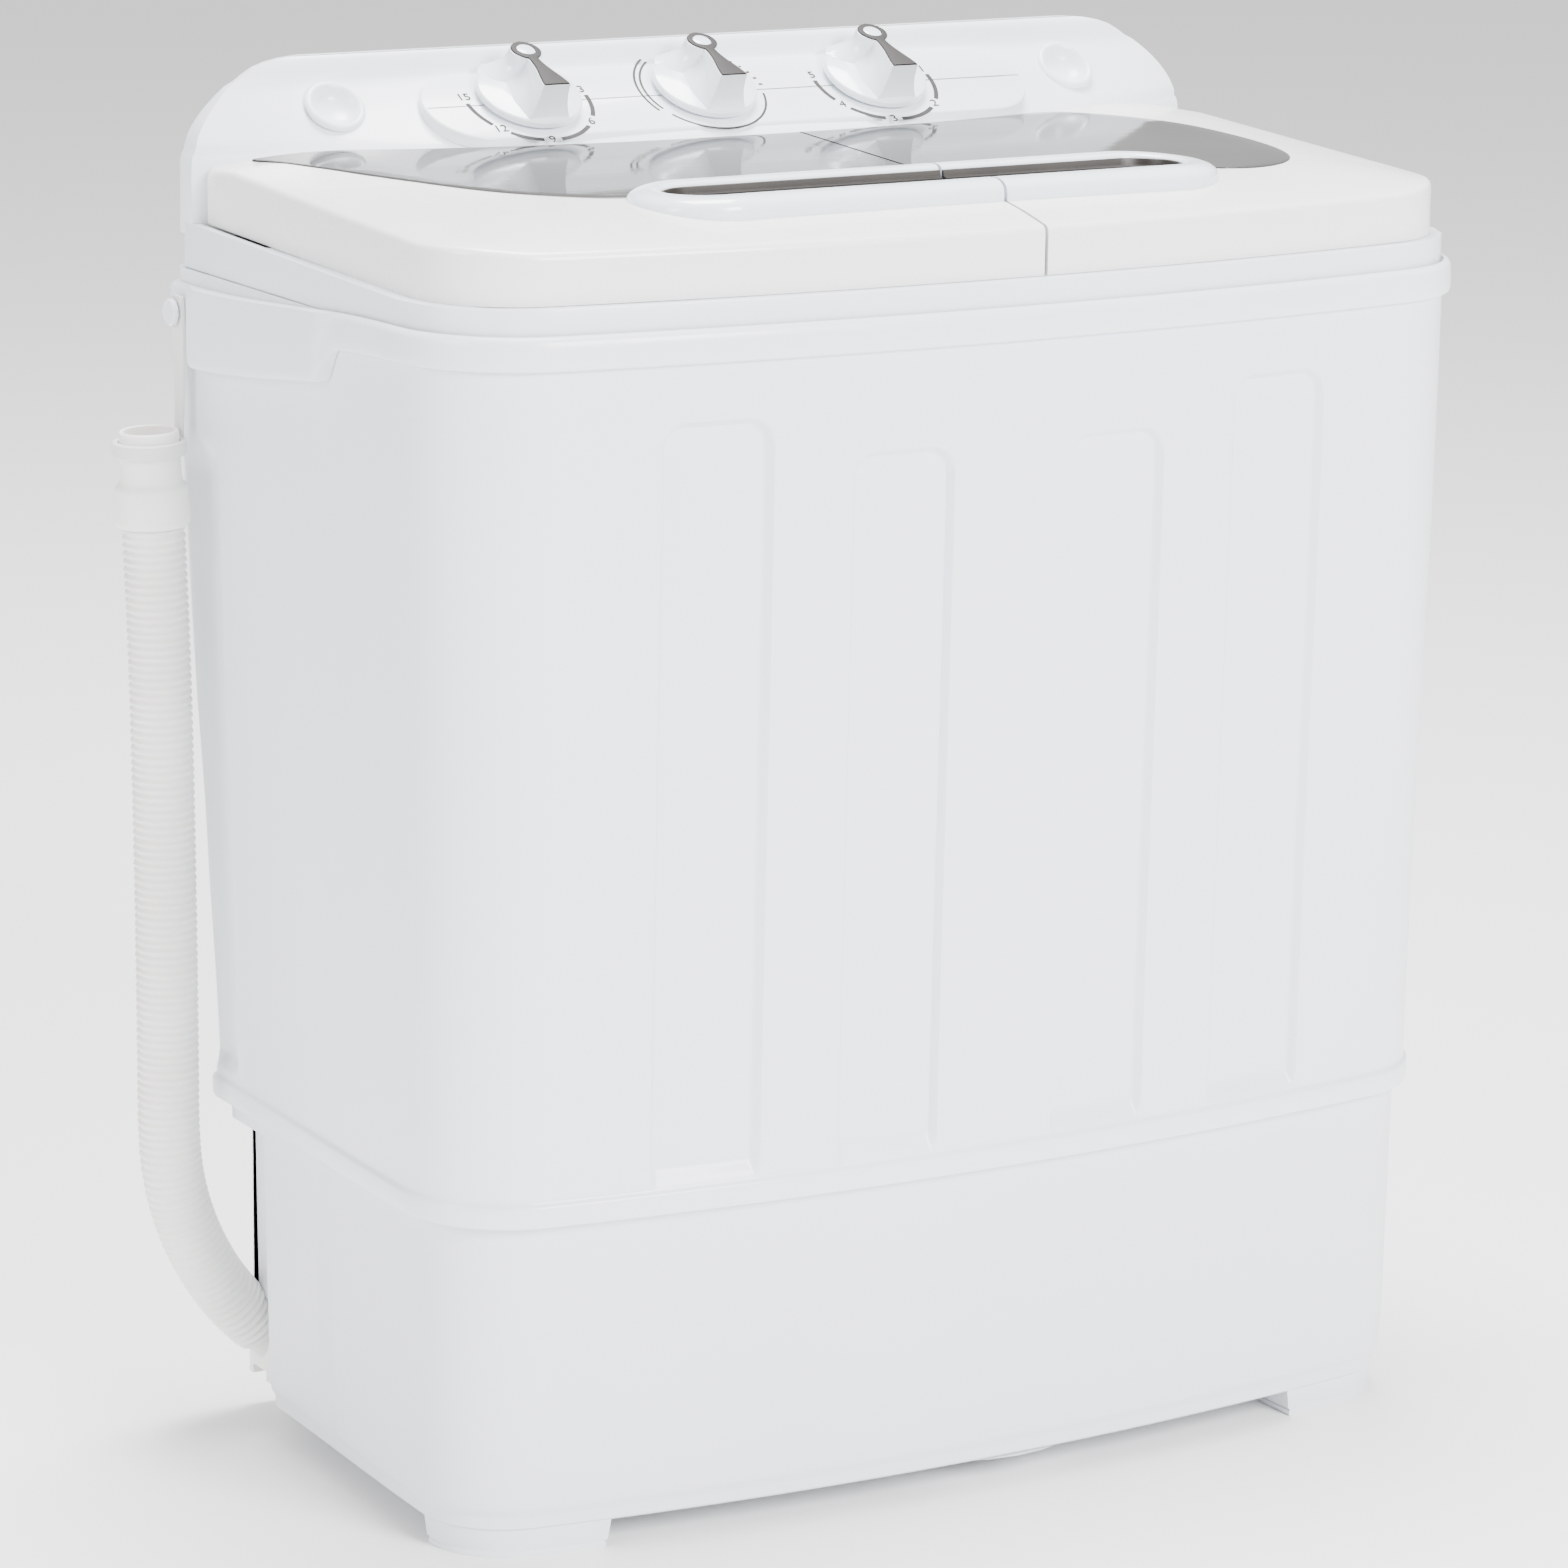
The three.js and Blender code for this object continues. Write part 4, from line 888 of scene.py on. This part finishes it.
def addKnobs():
    bodies = {"washTimer": "wash_timer", "selector": "selector", "spinTimer": "spin_timer"}
    for (name, body), x in zip(bodies.items(), console["knobX"]):
        low = knob["base"]
        spot = onFace @ at(x, console["knobUp"])
        disc = [(0.2, low), (24.6, low), (24.6, low + 1.5), (26.6, low + 1.7), (27, low + 2.2),
            (27, low + 4.4),
                (26.4, low + 5.2), (25, low + 5.7), (19, low + 6.6), (12, low + 7.4), (0.2, low + 8)]
        plate = makeMesh("disc", *loft(moved(lathe(disc, 96), spot)), angle=40)
        rings = []
        for part in (0.0, 0.06, 0.13, 0.21, 0.3, 0.4, 0.52, 0.66, 0.82, 0.955):
            rings.append([(px, py, low + 5 + (finTop(-py) - low - 5) * part) for px,
                py in finOutline(part)])
        rings.append([(px, py, finTop(-py) - 0.15) for px, py in finOutline(1.0, 0.1)])
        rings.append([(px, py, finTop(-py)) for px, py in finOutline(1.0, 0.5)])
        grip = makeMesh("grip", *loft(moved(rings, spot)), angle=38)
        shaft = makeMesh("shaft", *loft(moved(lathe([(3.7, -13), (3.7, low + 1)], 24), spot)))
        finished(joined(name + "Knob", plate, grip, shaft), "knob", body, body + "_knob")

        rings = []
        for trim, dz in ((0.5, -0.4), (0.5, 0.45), (0.75, 0.75), (1.2, 0.85)):
            rings.append([(px, py * 0.995, finTop(-py) + dz) for px, py in finOutline(1.0, trim)])
        strip = makeMesh(name + "Inlay", *loft(moved(rings, spot)), angle=40)
        eyeRings = [[(r * math.cos(2 * math.pi * i / 40),
            knob["eyeUp"] + r * math.sin(2 * math.pi * i / 40), z)
                     for i in range(40)] for r, z in ((4.9, 10), (4.9, 60))]
        cutBy(strip, makeMesh("eye", *loft(moved(eyeRings, spot))), 40)
        finished(strip, "inlay", body, body + "_inlay")
        eye = [[(r * 4.75 * math.cos(2 * math.pi * i / 40),
            knob["eyeUp"] + r * 4.75 * math.sin(2 * math.pi * i / 40),
                 finTop(-knob["eyeUp"]) + h) for i in range(40)] for r,
                 h in ((1.0, -0.5), (1.0, 0.3), (0.9, 0.5))]
        finished(makeMesh(name + "Eye", *loft(moved(eye, spot))), "knob", body)


addKnobs()
print("console and knobs done")

# The marks round the knobs.

dial = {"radius": 33.5, "thick": 2.3, "lift": 0.14}


def addDials():
    up = console["knobUp"]
    lift = console["rise"] + dial["lift"]

    def arc(x, start, stop, radius, thick):
        count = max(int(abs(stop - start) / 3), 2)
        rings = []
        for i in range(count + 1):
            angle = math.radians(start + (stop - start) * i / count)
            c, s = math.cos(angle), math.sin(angle)
            a, b = radius - thick / 2, radius + thick / 2
            rings.append([(x + a * c, up + a * s, lift - 0.3), (x + b * c, up + b * s, lift - 0.3),
                          (x + b * c, up + b * s, lift), (x + a * c, up + a * s, lift)])
        return makeMesh("arc", *loft(moved(rings, onFace)))

    def number(text, x, y, size=7.6):
        curve = bpy.data.curves.new("number", "FONT")
        curve.body = text
        curve.size = size * mm
        curve.align_x = "CENTER"
        curve.align_y = "CENTER"
        curve.extrude = 0.15 * mm
        thing = bpy.data.objects.new("number", curve)
        bpy.context.scene.collection.objects.link(thing)
        bpy.context.view_layer.update()
        mesh = bpy.data.meshes.new_from_object(thing.evaluated_get(bpy.context.evaluated_depsgraph_get()))
        bpy.data.objects.remove(thing)
        bpy.data.curves.remove(curve)
        scaled = Matrix.Scale(1 / mm, 4)
        spot = Matrix.Diagonal((mm, mm, mm, 1)) @ Matrix.Translation(middle) @ onFace @ at(x, y,
            lift) @ scaled
        mesh.transform(spot)
        return addObject("number", mesh)

    parts = []
    x = console["knobX"][0]
    marks = [("15", 172), ("12", 222), ("9", 268), ("6", 322), ("3", 10)]
    for (text, angle), nextAngle in zip(marks,
        [m[1] + (360 if m[1] < 90 else 0) for m in marks[1:]] + [None]):
        a = math.radians(angle)
        parts.append(number(text, x + dial["radius"] * math.cos(a), up + dial["radius"] * math.sin(a)))
        if nextAngle:
            parts.append(arc(x, angle + 9, nextAngle - 8, dial["radius"], dial["thick"]))
    x = console["knobX"][1]
    parts.append(arc(x, 128, 205, 32.6, 1.2))
    parts.append(arc(x, 128, 205, 35.6, 1.2))
    parts.append(arc(x, 215, 350, 32.8, 1.2))
    for i in range(6):
        a = math.radians(2 + 9 * i)
        parts.append(arc(x, 2 + 9 * i, 4.2 + 9 * i, 34.5, 2.2))
    x = console["knobX"][2]
    marks = [("5", 168), ("4", 214), ("3", 262), ("2", 318), ("1", 12), ("0", 100)]
    ends = [m[1] + (360 if m[1] < 90 else 0) for m in marks[1:5]] + [None, None]
    for (text, angle), nextAngle in zip(marks, ends):
        a = math.radians(angle)
        parts.append(number(text, x + dial["radius"] * math.cos(a), up + dial["radius"] * math.sin(a)))
        if nextAngle:
            parts.append(arc(x, angle + 8, nextAngle - 8, dial["radius"], dial["thick"]))
    finished(joined("dialMarks", *parts), "print", "cabinet")


addDials()

# The lids.

lid = {
    "half": 281, "seam": 20, "gap": 0.9, "seat": 600.3, "crease": 626.5, "top": 634, "tilt": 0.045,
    "wall": 2.5, "dome": 60,
    "slot": (-142, 142, -99, -59, 19.5),
}


def lidTopAt(x, y):
    d = y - (-153 + 24 * (x / lid["half"]) ** 2)
    side = lid["half"] - abs(x)
    k = 26.0
    h = max(k - abs(d - side), 0) / k
    near = min(d, side) - h * h * k / 4
    t = min(max(near / lid["dome"], 0), 1)
    rear = min(max((consoleFoot(x) - 3 - y) / 8, 0), 1)
    level = lid["top"] + lid["tilt"] * (y + 80) - 3.5 * (1 - rear) ** 2
    return level - (lid["top"] - lid["crease"]) * (1 - t) ** 1.7


def deckRise(y):
    return 0.03 * max(0.0, y + 80)


def lidPlan(inset):
    outline = cabinetPlan(7 + inset, 300, 60, 16, 40)
    edge = lid["half"] - inset
    right = [p for p in outline[:len(outline) // 2 + 1] if p[1] < 104 and p[0] >= 0]
    left = [p for p in outline[len(outline) // 2:] if p[1] < 104 and p[0] < 0]
    steps = 90
    rear = []
    for i in range(steps + 1):
        x = edge - 2 * edge * i / steps
        rear.append((x, consoleFoot(x) - 3 - inset))
    return right + rear + left


def lidRings():
    outer = lidPlan(0)
    rings = [ringAt(lidPlan(0.25), lambda x, y: lid["seat"] + deckRise(y)),
             ringAt(outer, lambda x, y: lid["seat"] + 0.8 + deckRise(y))]
    rings.append([(x, y, lidTopAt(x, y) - 3.0) for x, y in outer])
    for inset, drop in ((0.22, 1.9), (0.75, 0.9), (1.5, 0.25), (2.6, 0.0)):
        rings.append([(x, y, lidTopAt(x, y) - drop) for x, y in lidPlan(inset)])
    start = lidPlan(2.6)
    for i in range(1, 33):
        t = (i / 32) ** 0.9 * 0.97
        ring = []
        for x, y in start:
            px, py = x * (1 - t), 10 + (y - 10) * (1 - t)
            ring.append((px, py, lidTopAt(px, py)))
        rings.append(ring)
    inner = []
    start = lidPlan(lid["wall"])
    for i in range(12, -1, -1):
        t = i / 12 * 0.97
        ring = []
        for x, y in start:
            px, py = x * (1 - t), 10 + (y - 10) * (1 - t)
            ring.append((px, py, lidTopAt(px, py) - 3.2))
        inner.append(ring)
    return rings, inner + [ringAt(start, lambda x, y: lid["seat"] + deckRise(y))]


def addLids():
    outer, inner = lidRings()
    # The top and the underside each close at their middle, and the two meet along the skirt's lower edge.
    points, faces = loft(list(reversed(outer)) + list(reversed(inner)))
    shell = makeMesh("lidShell", points, faces, angle=38)
    slotHole = makeMesh("slotHole", *loft([ringAt(roundedPlan(*grown(lid["slot"], 2.0)), z) for z in (590,
        660)]))
    cutBy(shell, slotHole, 38)

    rings = []
    for scale, dz in ((1.0, -0.8), (1.0, 0.15), (0.997, 0.42), (0.992, 0.5)):
        rings.append([(x, y, dz) for x, y in windowPlan(scale)])
    for i in range(1, 26):
        t = 0.008 + i / 25 * 0.97
        rings.append([(x, y, 0.5) for x, y in windowPlan(1 - t)])
    glassRings = [[(x, y, lidTopAt(x, y) + dz) for x, y, dz in ring] for ring in rings]
    under = [[(x, y, lidTopAt(x, y) - 0.8) for x, y in windowPlan(1 - t)] for t in (0.978, 0.7, 0.4, 0.2)]
    glass = makeMesh("lidGlass", *loft(list(reversed(glassRings)) + list(reversed(under))), angle=50)

    ringRings = []
    for by, z in ((17.6, 627), (17.6, 634.6), (17.2, 636.6), (16.0, 638.4), (13.6, 639.9), (10.4, 640.8),
        (7.0, 641.0),
                  (4.0, 640.8), (2.4, 640.3), (1.5, 639.6), (1.1, 638.6), (1.1, 627)):
        ringRings.append([(x, y, z - 1.6 * max(0, (abs(x) - 110) / 50) ** 2 * (z > 634)) for x,
            y in roundedPlan(
            *grown(lid["slot"], by), steps=16)])
    hoop = makeMesh("gripRing", *loft(ringRings, loop=True), angle=50)

    linerRings = [ringAt(roundedPlan(*grown(lid["slot"], by)), z) for by, z in (
        (-2.0, 607.6), (0.2, 608), (0.6, 609), (0.9, 637.6), (0.7, 638.4), (0.1, 638.6), (-0.4, 638.2),
        (-0.9, 636),
        (-2.6, 612.6), (-4.0, 610.4), (-6.5, 609.6))]
    liner = makeMesh("slotLiner", *loft(linerRings), angle=50)
    for side, keepLeft in (("wash", True), ("spin", False)):
        x = lid["seam"] + (-lid["gap"] if keepLeft else lid["gap"])
        body = side + "_lid"
        finished(bisected(copied(liner, side + "LidPocket"), x, keepLeft), "slot", body, body + "_pocket")
        finished(bisected(copied(shell, side + "LidFrame"), x, keepLeft), "lid", body, body + "_frame")
        finished(bisected(copied(glass, side + "LidWindow"), x, keepLeft), "smoked", body, body + "_window")
        finished(bisected(copied(hoop, side + "LidGrip"), x, keepLeft), "grip", body, body + "_grip")
    for thing in (shell, glass, hoop, liner):
        dropped(thing)


windowOutline = [
    (-264, 112), (-258, 96), (-248, 66), (-238, 36), (-226, 8), (-212, -16), (-196, -34), (-178, -48),
    (-158, -58),
    (-120, -62), (-60, -62), (0, -62), (60, -62), (120, -64), (150, -74), (170, -84), (188, -86),
    (206, -80),
    (220, -66), (229, -44), (232, -16), (229, 16), (220, 44), (204, 68), (184, 86),
]


def windowPlan(scale):
    rear = []
    for i in range(41):
        x = 176 - (176 + 264) * i / 41
        rear.append((x, consoleFoot(x) - 7))
    ends = [Vector(p) for p in windowOutline]
    front = []
    for i in range(len(ends) - 1):
        p0, p1, p2, p3 = (ends[max(i - 1, 0)], ends[i], ends[i + 1], ends[min(i + 2, len(ends) - 1)])
        for k in range(5):
            t = k / 5
            front.append(tuple(0.5 * ((2 * p1) + (p2 - p0) * t + (2 * p0 - 5 * p1 + 4 * p2 - p3) * t * t
                                      + (3 * p1 - p0 - 3 * p2 + p3) * t ** 3)))
    front.append(tuple(ends[-1]))
    cx, cy = 0.0, 20.0
    return [(cx + (x - cx) * scale, cy + (y - cy) * scale) for x, y in front + rear]


addLids()
print("lids done")

# Pieces that keep their CAD shape and get softened edges.

refined = {
    "rear_cover": ("rearCover", 1.4), "cord_gland": ("cordGland", 0.6), "top_deck": ("topDeck", 0.5),
    "hose_outlet": ("hoseOutlet", 1.2), "motor_guard": ("motorGuard", 1.0), "wash_tub": ("washTub", 1.2),
    "pulsator": ("pulsator", 1.6), "spin_basket": ("spinBasket", 0.7), "spin_tub": ("spinTub", 0.8),
    "spin_pressing_disc": ("pressingDisc", 1.0), "lint_filter": ("lintFilter", 0.8),
}
bodyOf = {}
for bodyName, nodes in frame["record"]["behaviour"]["bodies"].items():
    for nodeName in nodes:
        bodyOf[nodeName] = bodyName


def refine(node, name, width):
    source = frame["nodes"][node]
    mesh = bpy.data.meshes.new_from_object(source)
    mesh.transform(source.matrix_world)
    bm = bmesh.new()
    bm.from_mesh(mesh)
    bmesh.ops.remove_doubles(bm, verts=bm.verts, dist=2e-6)
    bmesh.ops.dissolve_limit(bm, angle_limit=math.radians(1), verts=bm.verts, edges=bm.edges)
    if node == "top_deck":
        for vert in bm.verts:
            if vert.co.z > 0.598:
                vert.co.z += deckRise(vert.co.y / mm - middle.y) * mm
    bmesh.ops.recalc_face_normals(bm, faces=bm.faces)
    bm.to_mesh(mesh)
    bm.free()
    mesh.materials.clear()
    thing = bevelled(addObject(name, mesh), width, 2, 40)
    return finished(thing, slotOf[node], bodyOf[node], node)


for node, (name, width) in refined.items():
    refine(node, name, width)

# Repeated pieces, set out by geometry nodes.


class Tree:  # a geometry nodes tree with named number inputs
    def __init__(self, name, numbers):
        self.group = bpy.data.node_groups.new(name, "GeometryNodeTree")
        face = self.group.interface
        face.new_socket(name="Geometry", in_out="INPUT", socket_type="NodeSocketGeometry")
        self.ids = {}
        for key, value in numbers.items():
            kind = "NodeSocketInt" if isinstance(value, int) else "NodeSocketFloat"
            self.ids[key] = face.new_socket(name=key, in_out="INPUT", socket_type=kind).identifier
        face.new_socket(name="Geometry", in_out="OUTPUT", socket_type="NodeSocketGeometry")
        self.numbers = numbers
        self.given = self.group.nodes.new("NodeGroupInput")

    def node(self, kind, links, **settings):
        made = self.group.nodes.new(kind)
        for key, value in settings.items():
            setattr(made, key, value)
        for key, value in links.items():
            if isinstance(value, bpy.types.NodeSocket):
                self.group.links.new(value, made.inputs[key])
            elif isinstance(value, str):
                self.group.links.new(self.given.outputs[value], made.inputs[key])
            else:
                made.inputs[key].default_value = value
        return made.outputs

    def grow(self, name, geometry, look):  # realises the tree on a new object and bakes it
        whole = self.node("GeometryNodeRealizeInstances", {"Geometry": geometry})[0]
        painted = self.node("GeometryNodeSetMaterial", {"Geometry": whole, "Material": finishes[look]})[0]
        self.node("NodeGroupOutput", {0: painted})
        thing = addObject(name, bpy.data.meshes.new(name), 0)
        modifier = thing.modifiers.new("nodes", "NODES")
        modifier.node_group = self.group
        for key, value in self.numbers.items():
            modifier[self.ids[key]] = value
        return bake(thing, 40)


def corners(node):  # the lowest and highest corner of a CAD node
    source = frame["nodes"][node]
    spots = [source.matrix_world @ vert.co for vert in source.data.vertices]
    return [Vector([pick(spot[i] for spot in spots) for i in range(3)]) for pick in (min, max)]


def addScrews():
    low, high = corners("rear_cover")
    tree = Tree("coverScrews", {
        "Width": high.x - low.x - 0.022, "Height": high.z - low.z - 0.022, "Columns": 3, "Rows": 4,
        "Radius": 0.0036,
        "Head": 0.0016})
    grid = tree.node("GeometryNodeMeshGrid",
        {"Size X": "Width", "Size Y": "Height", "Vertices X": "Columns",
                                              "Vertices Y": "Rows"})[0]
    place = tree.node("GeometryNodeInputPosition", {})[0]
    along = tree.node("ShaderNodeSeparateXYZ", {0: place})
    upward = tree.node("ShaderNodeMath", {0: along[1], 1: 0.0}, operation="ABSOLUTE")[0]
    sideways = tree.node("ShaderNodeMath", {0: along[0], 1: 0.0}, operation="ABSOLUTE")[0]
    midColumn = tree.node("FunctionNodeCompare", {"A": sideways, "B": 0.01}, operation="LESS_THAN")[0]
    midRow = tree.node("FunctionNodeCompare", {"A": upward, "B": 0.1}, operation="LESS_THAN")[0]
    both = tree.node("FunctionNodeBooleanMath", {0: midColumn, 1: midRow}, operation="AND")[0]
    points = tree.node("GeometryNodeMeshToPoints", {"Mesh": grid})[0]
    kept = tree.node("GeometryNodeDeleteGeometry", {"Geometry": points, "Selection": both},
        domain="POINT")[0]
    head = tree.node("GeometryNodeMeshCone", {
        "Vertices": 32, "Side Segments": 3, "Radius Bottom": "Radius", "Radius Top": 0.0026,
        "Depth": "Head"})[0]
    slit = tree.node("GeometryNodeMeshCube", {"Size": (0.0040, 0.0009, 0.0010)})[0]
    cross = tree.node("GeometryNodeTransform", {"Geometry": slit, "Rotation": (0, 0, math.pi / 2)})[0]
    joinedSlits = tree.group.nodes.new("GeometryNodeJoinGeometry")
    tree.group.links.new(slit, joinedSlits.inputs[0])
    tree.group.links.new(cross, joinedSlits.inputs[0])
    raised = tree.node("GeometryNodeTransform",
        {"Geometry": joinedSlits.outputs[0], "Translation": (0, 0, 0.0016)})[0]
    driven = tree.node("GeometryNodeMeshBoolean", {"Mesh 1": head, "Mesh 2": raised},
        operation="DIFFERENCE")[0]
    placed = tree.node("GeometryNodeInstanceOnPoints", {"Points": kept, "Instance": driven})[0]
    middleX, middleZ = (low.x + high.x) / 2, (low.z + high.z) / 2
    fall = math.atan2(cabinet["draft"], 402)
    outerY = high.y - math.tan(fall) * (high.z - low.z) / 2 - 0.0002
    upright = tree.node("GeometryNodeTransform", {
        "Geometry": placed, "Translation": (middleX, outerY, middleZ),
        "Rotation": (-math.pi / 2 - fall, 0, 0)})[0]
    finished(tree.grow("coverScrews", upright, "steel"), "steel", "cabinet")


def addPerforations():
    tree = Tree("basketHoles", {
        "Radius": 0.0868, "Height": 0.250, "Columns": 28, "Rows": 13, "Hole": 0.0026, "Through": 0.0034})
    wall = tree.node("GeometryNodeMeshCylinder", {
        "Vertices": "Columns", "Side Segments": "Rows", "Radius": "Radius", "Depth": "Height"},
        fill_type="NONE")[0]
    normal = tree.node("GeometryNodeInputNormal", {})[0]
    # Each hole is a black stud, not an opening: its black is painted shade for the dark behind the basket
    # wall.
    plug = tree.node("GeometryNodeMeshCylinder", {"Vertices": 16, "Radius": "Hole", "Depth": "Through"})[0]
    outward = tree.node("FunctionNodeAlignRotationToVector", {"Vector": normal}, axis="Z")[0]
    placed = tree.node("GeometryNodeInstanceOnPoints",
        {"Points": wall, "Instance": plug, "Rotation": outward})[0]
    low, high = corners("spin_basket")
    raised = tree.node("GeometryNodeTransform", {
        "Geometry": placed, "Translation": ((low.x + high.x) / 2, (low.y + high.y) / 2, 0.395)})[0]
    finished(tree.grow("basketHoles", raised, "black"), "black", "spinner")


addScrews()
addPerforations()
for node, thing in frame["nodes"].items():
    if node not in refined and not thing.hide_render:
        thing.data.materials.clear()
        thing.data.materials.append(finishes[slotOf[node]])
print("CAD pieces done")

# The room.


def addRoom():
    size = 9.0
    mesh = bpy.data.meshes.new("floor")
    mesh.from_pydata([(-size, -size, 0), (size, -size, 0), (size, size, 0), (-size, size, 0)], [],
        [(0, 1, 2, 3)])
    floor = bpy.data.objects.new("floor", mesh)
    bpy.context.scene.collection.objects.link(floor)
    shade = Shade("paleFloor")
    shade.set(Base_Color=rgb(0.93, 0.93, 0.93), Roughness=0.6)
    mesh.materials.append(shade.material)
    world = bpy.data.worlds.new("room")
    bpy.context.scene.world = world
    world.use_nodes = True
    world.node_tree.nodes["Background"].inputs[0].default_value = (1.0, 1.0, 1.0, 1.0)
    world.node_tree.nodes["Background"].inputs[1].default_value = 1.1
    lamps = {
        "key": ((0.6, -3.6, 2.2), 1.5, 330), "side": ((-3.4, -0.6, 2.0), 1.2, 75),
        "top": ((0.2, 0.5, 3.2), 1.4, 260),
    }
    for name, (where, width, power) in lamps.items():
        light = bpy.data.lights.new(name, "AREA")
        light.size = width
        light.energy = power
        lamp = bpy.data.objects.new(name, light)
        lamp.location = where
        lamp.rotation_euler = (Vector((0, 0, 0.35)) - Vector(where)).to_track_quat("-Z", "Y").to_euler()
        bpy.context.scene.collection.objects.link(lamp)


addRoom()
print("room done")
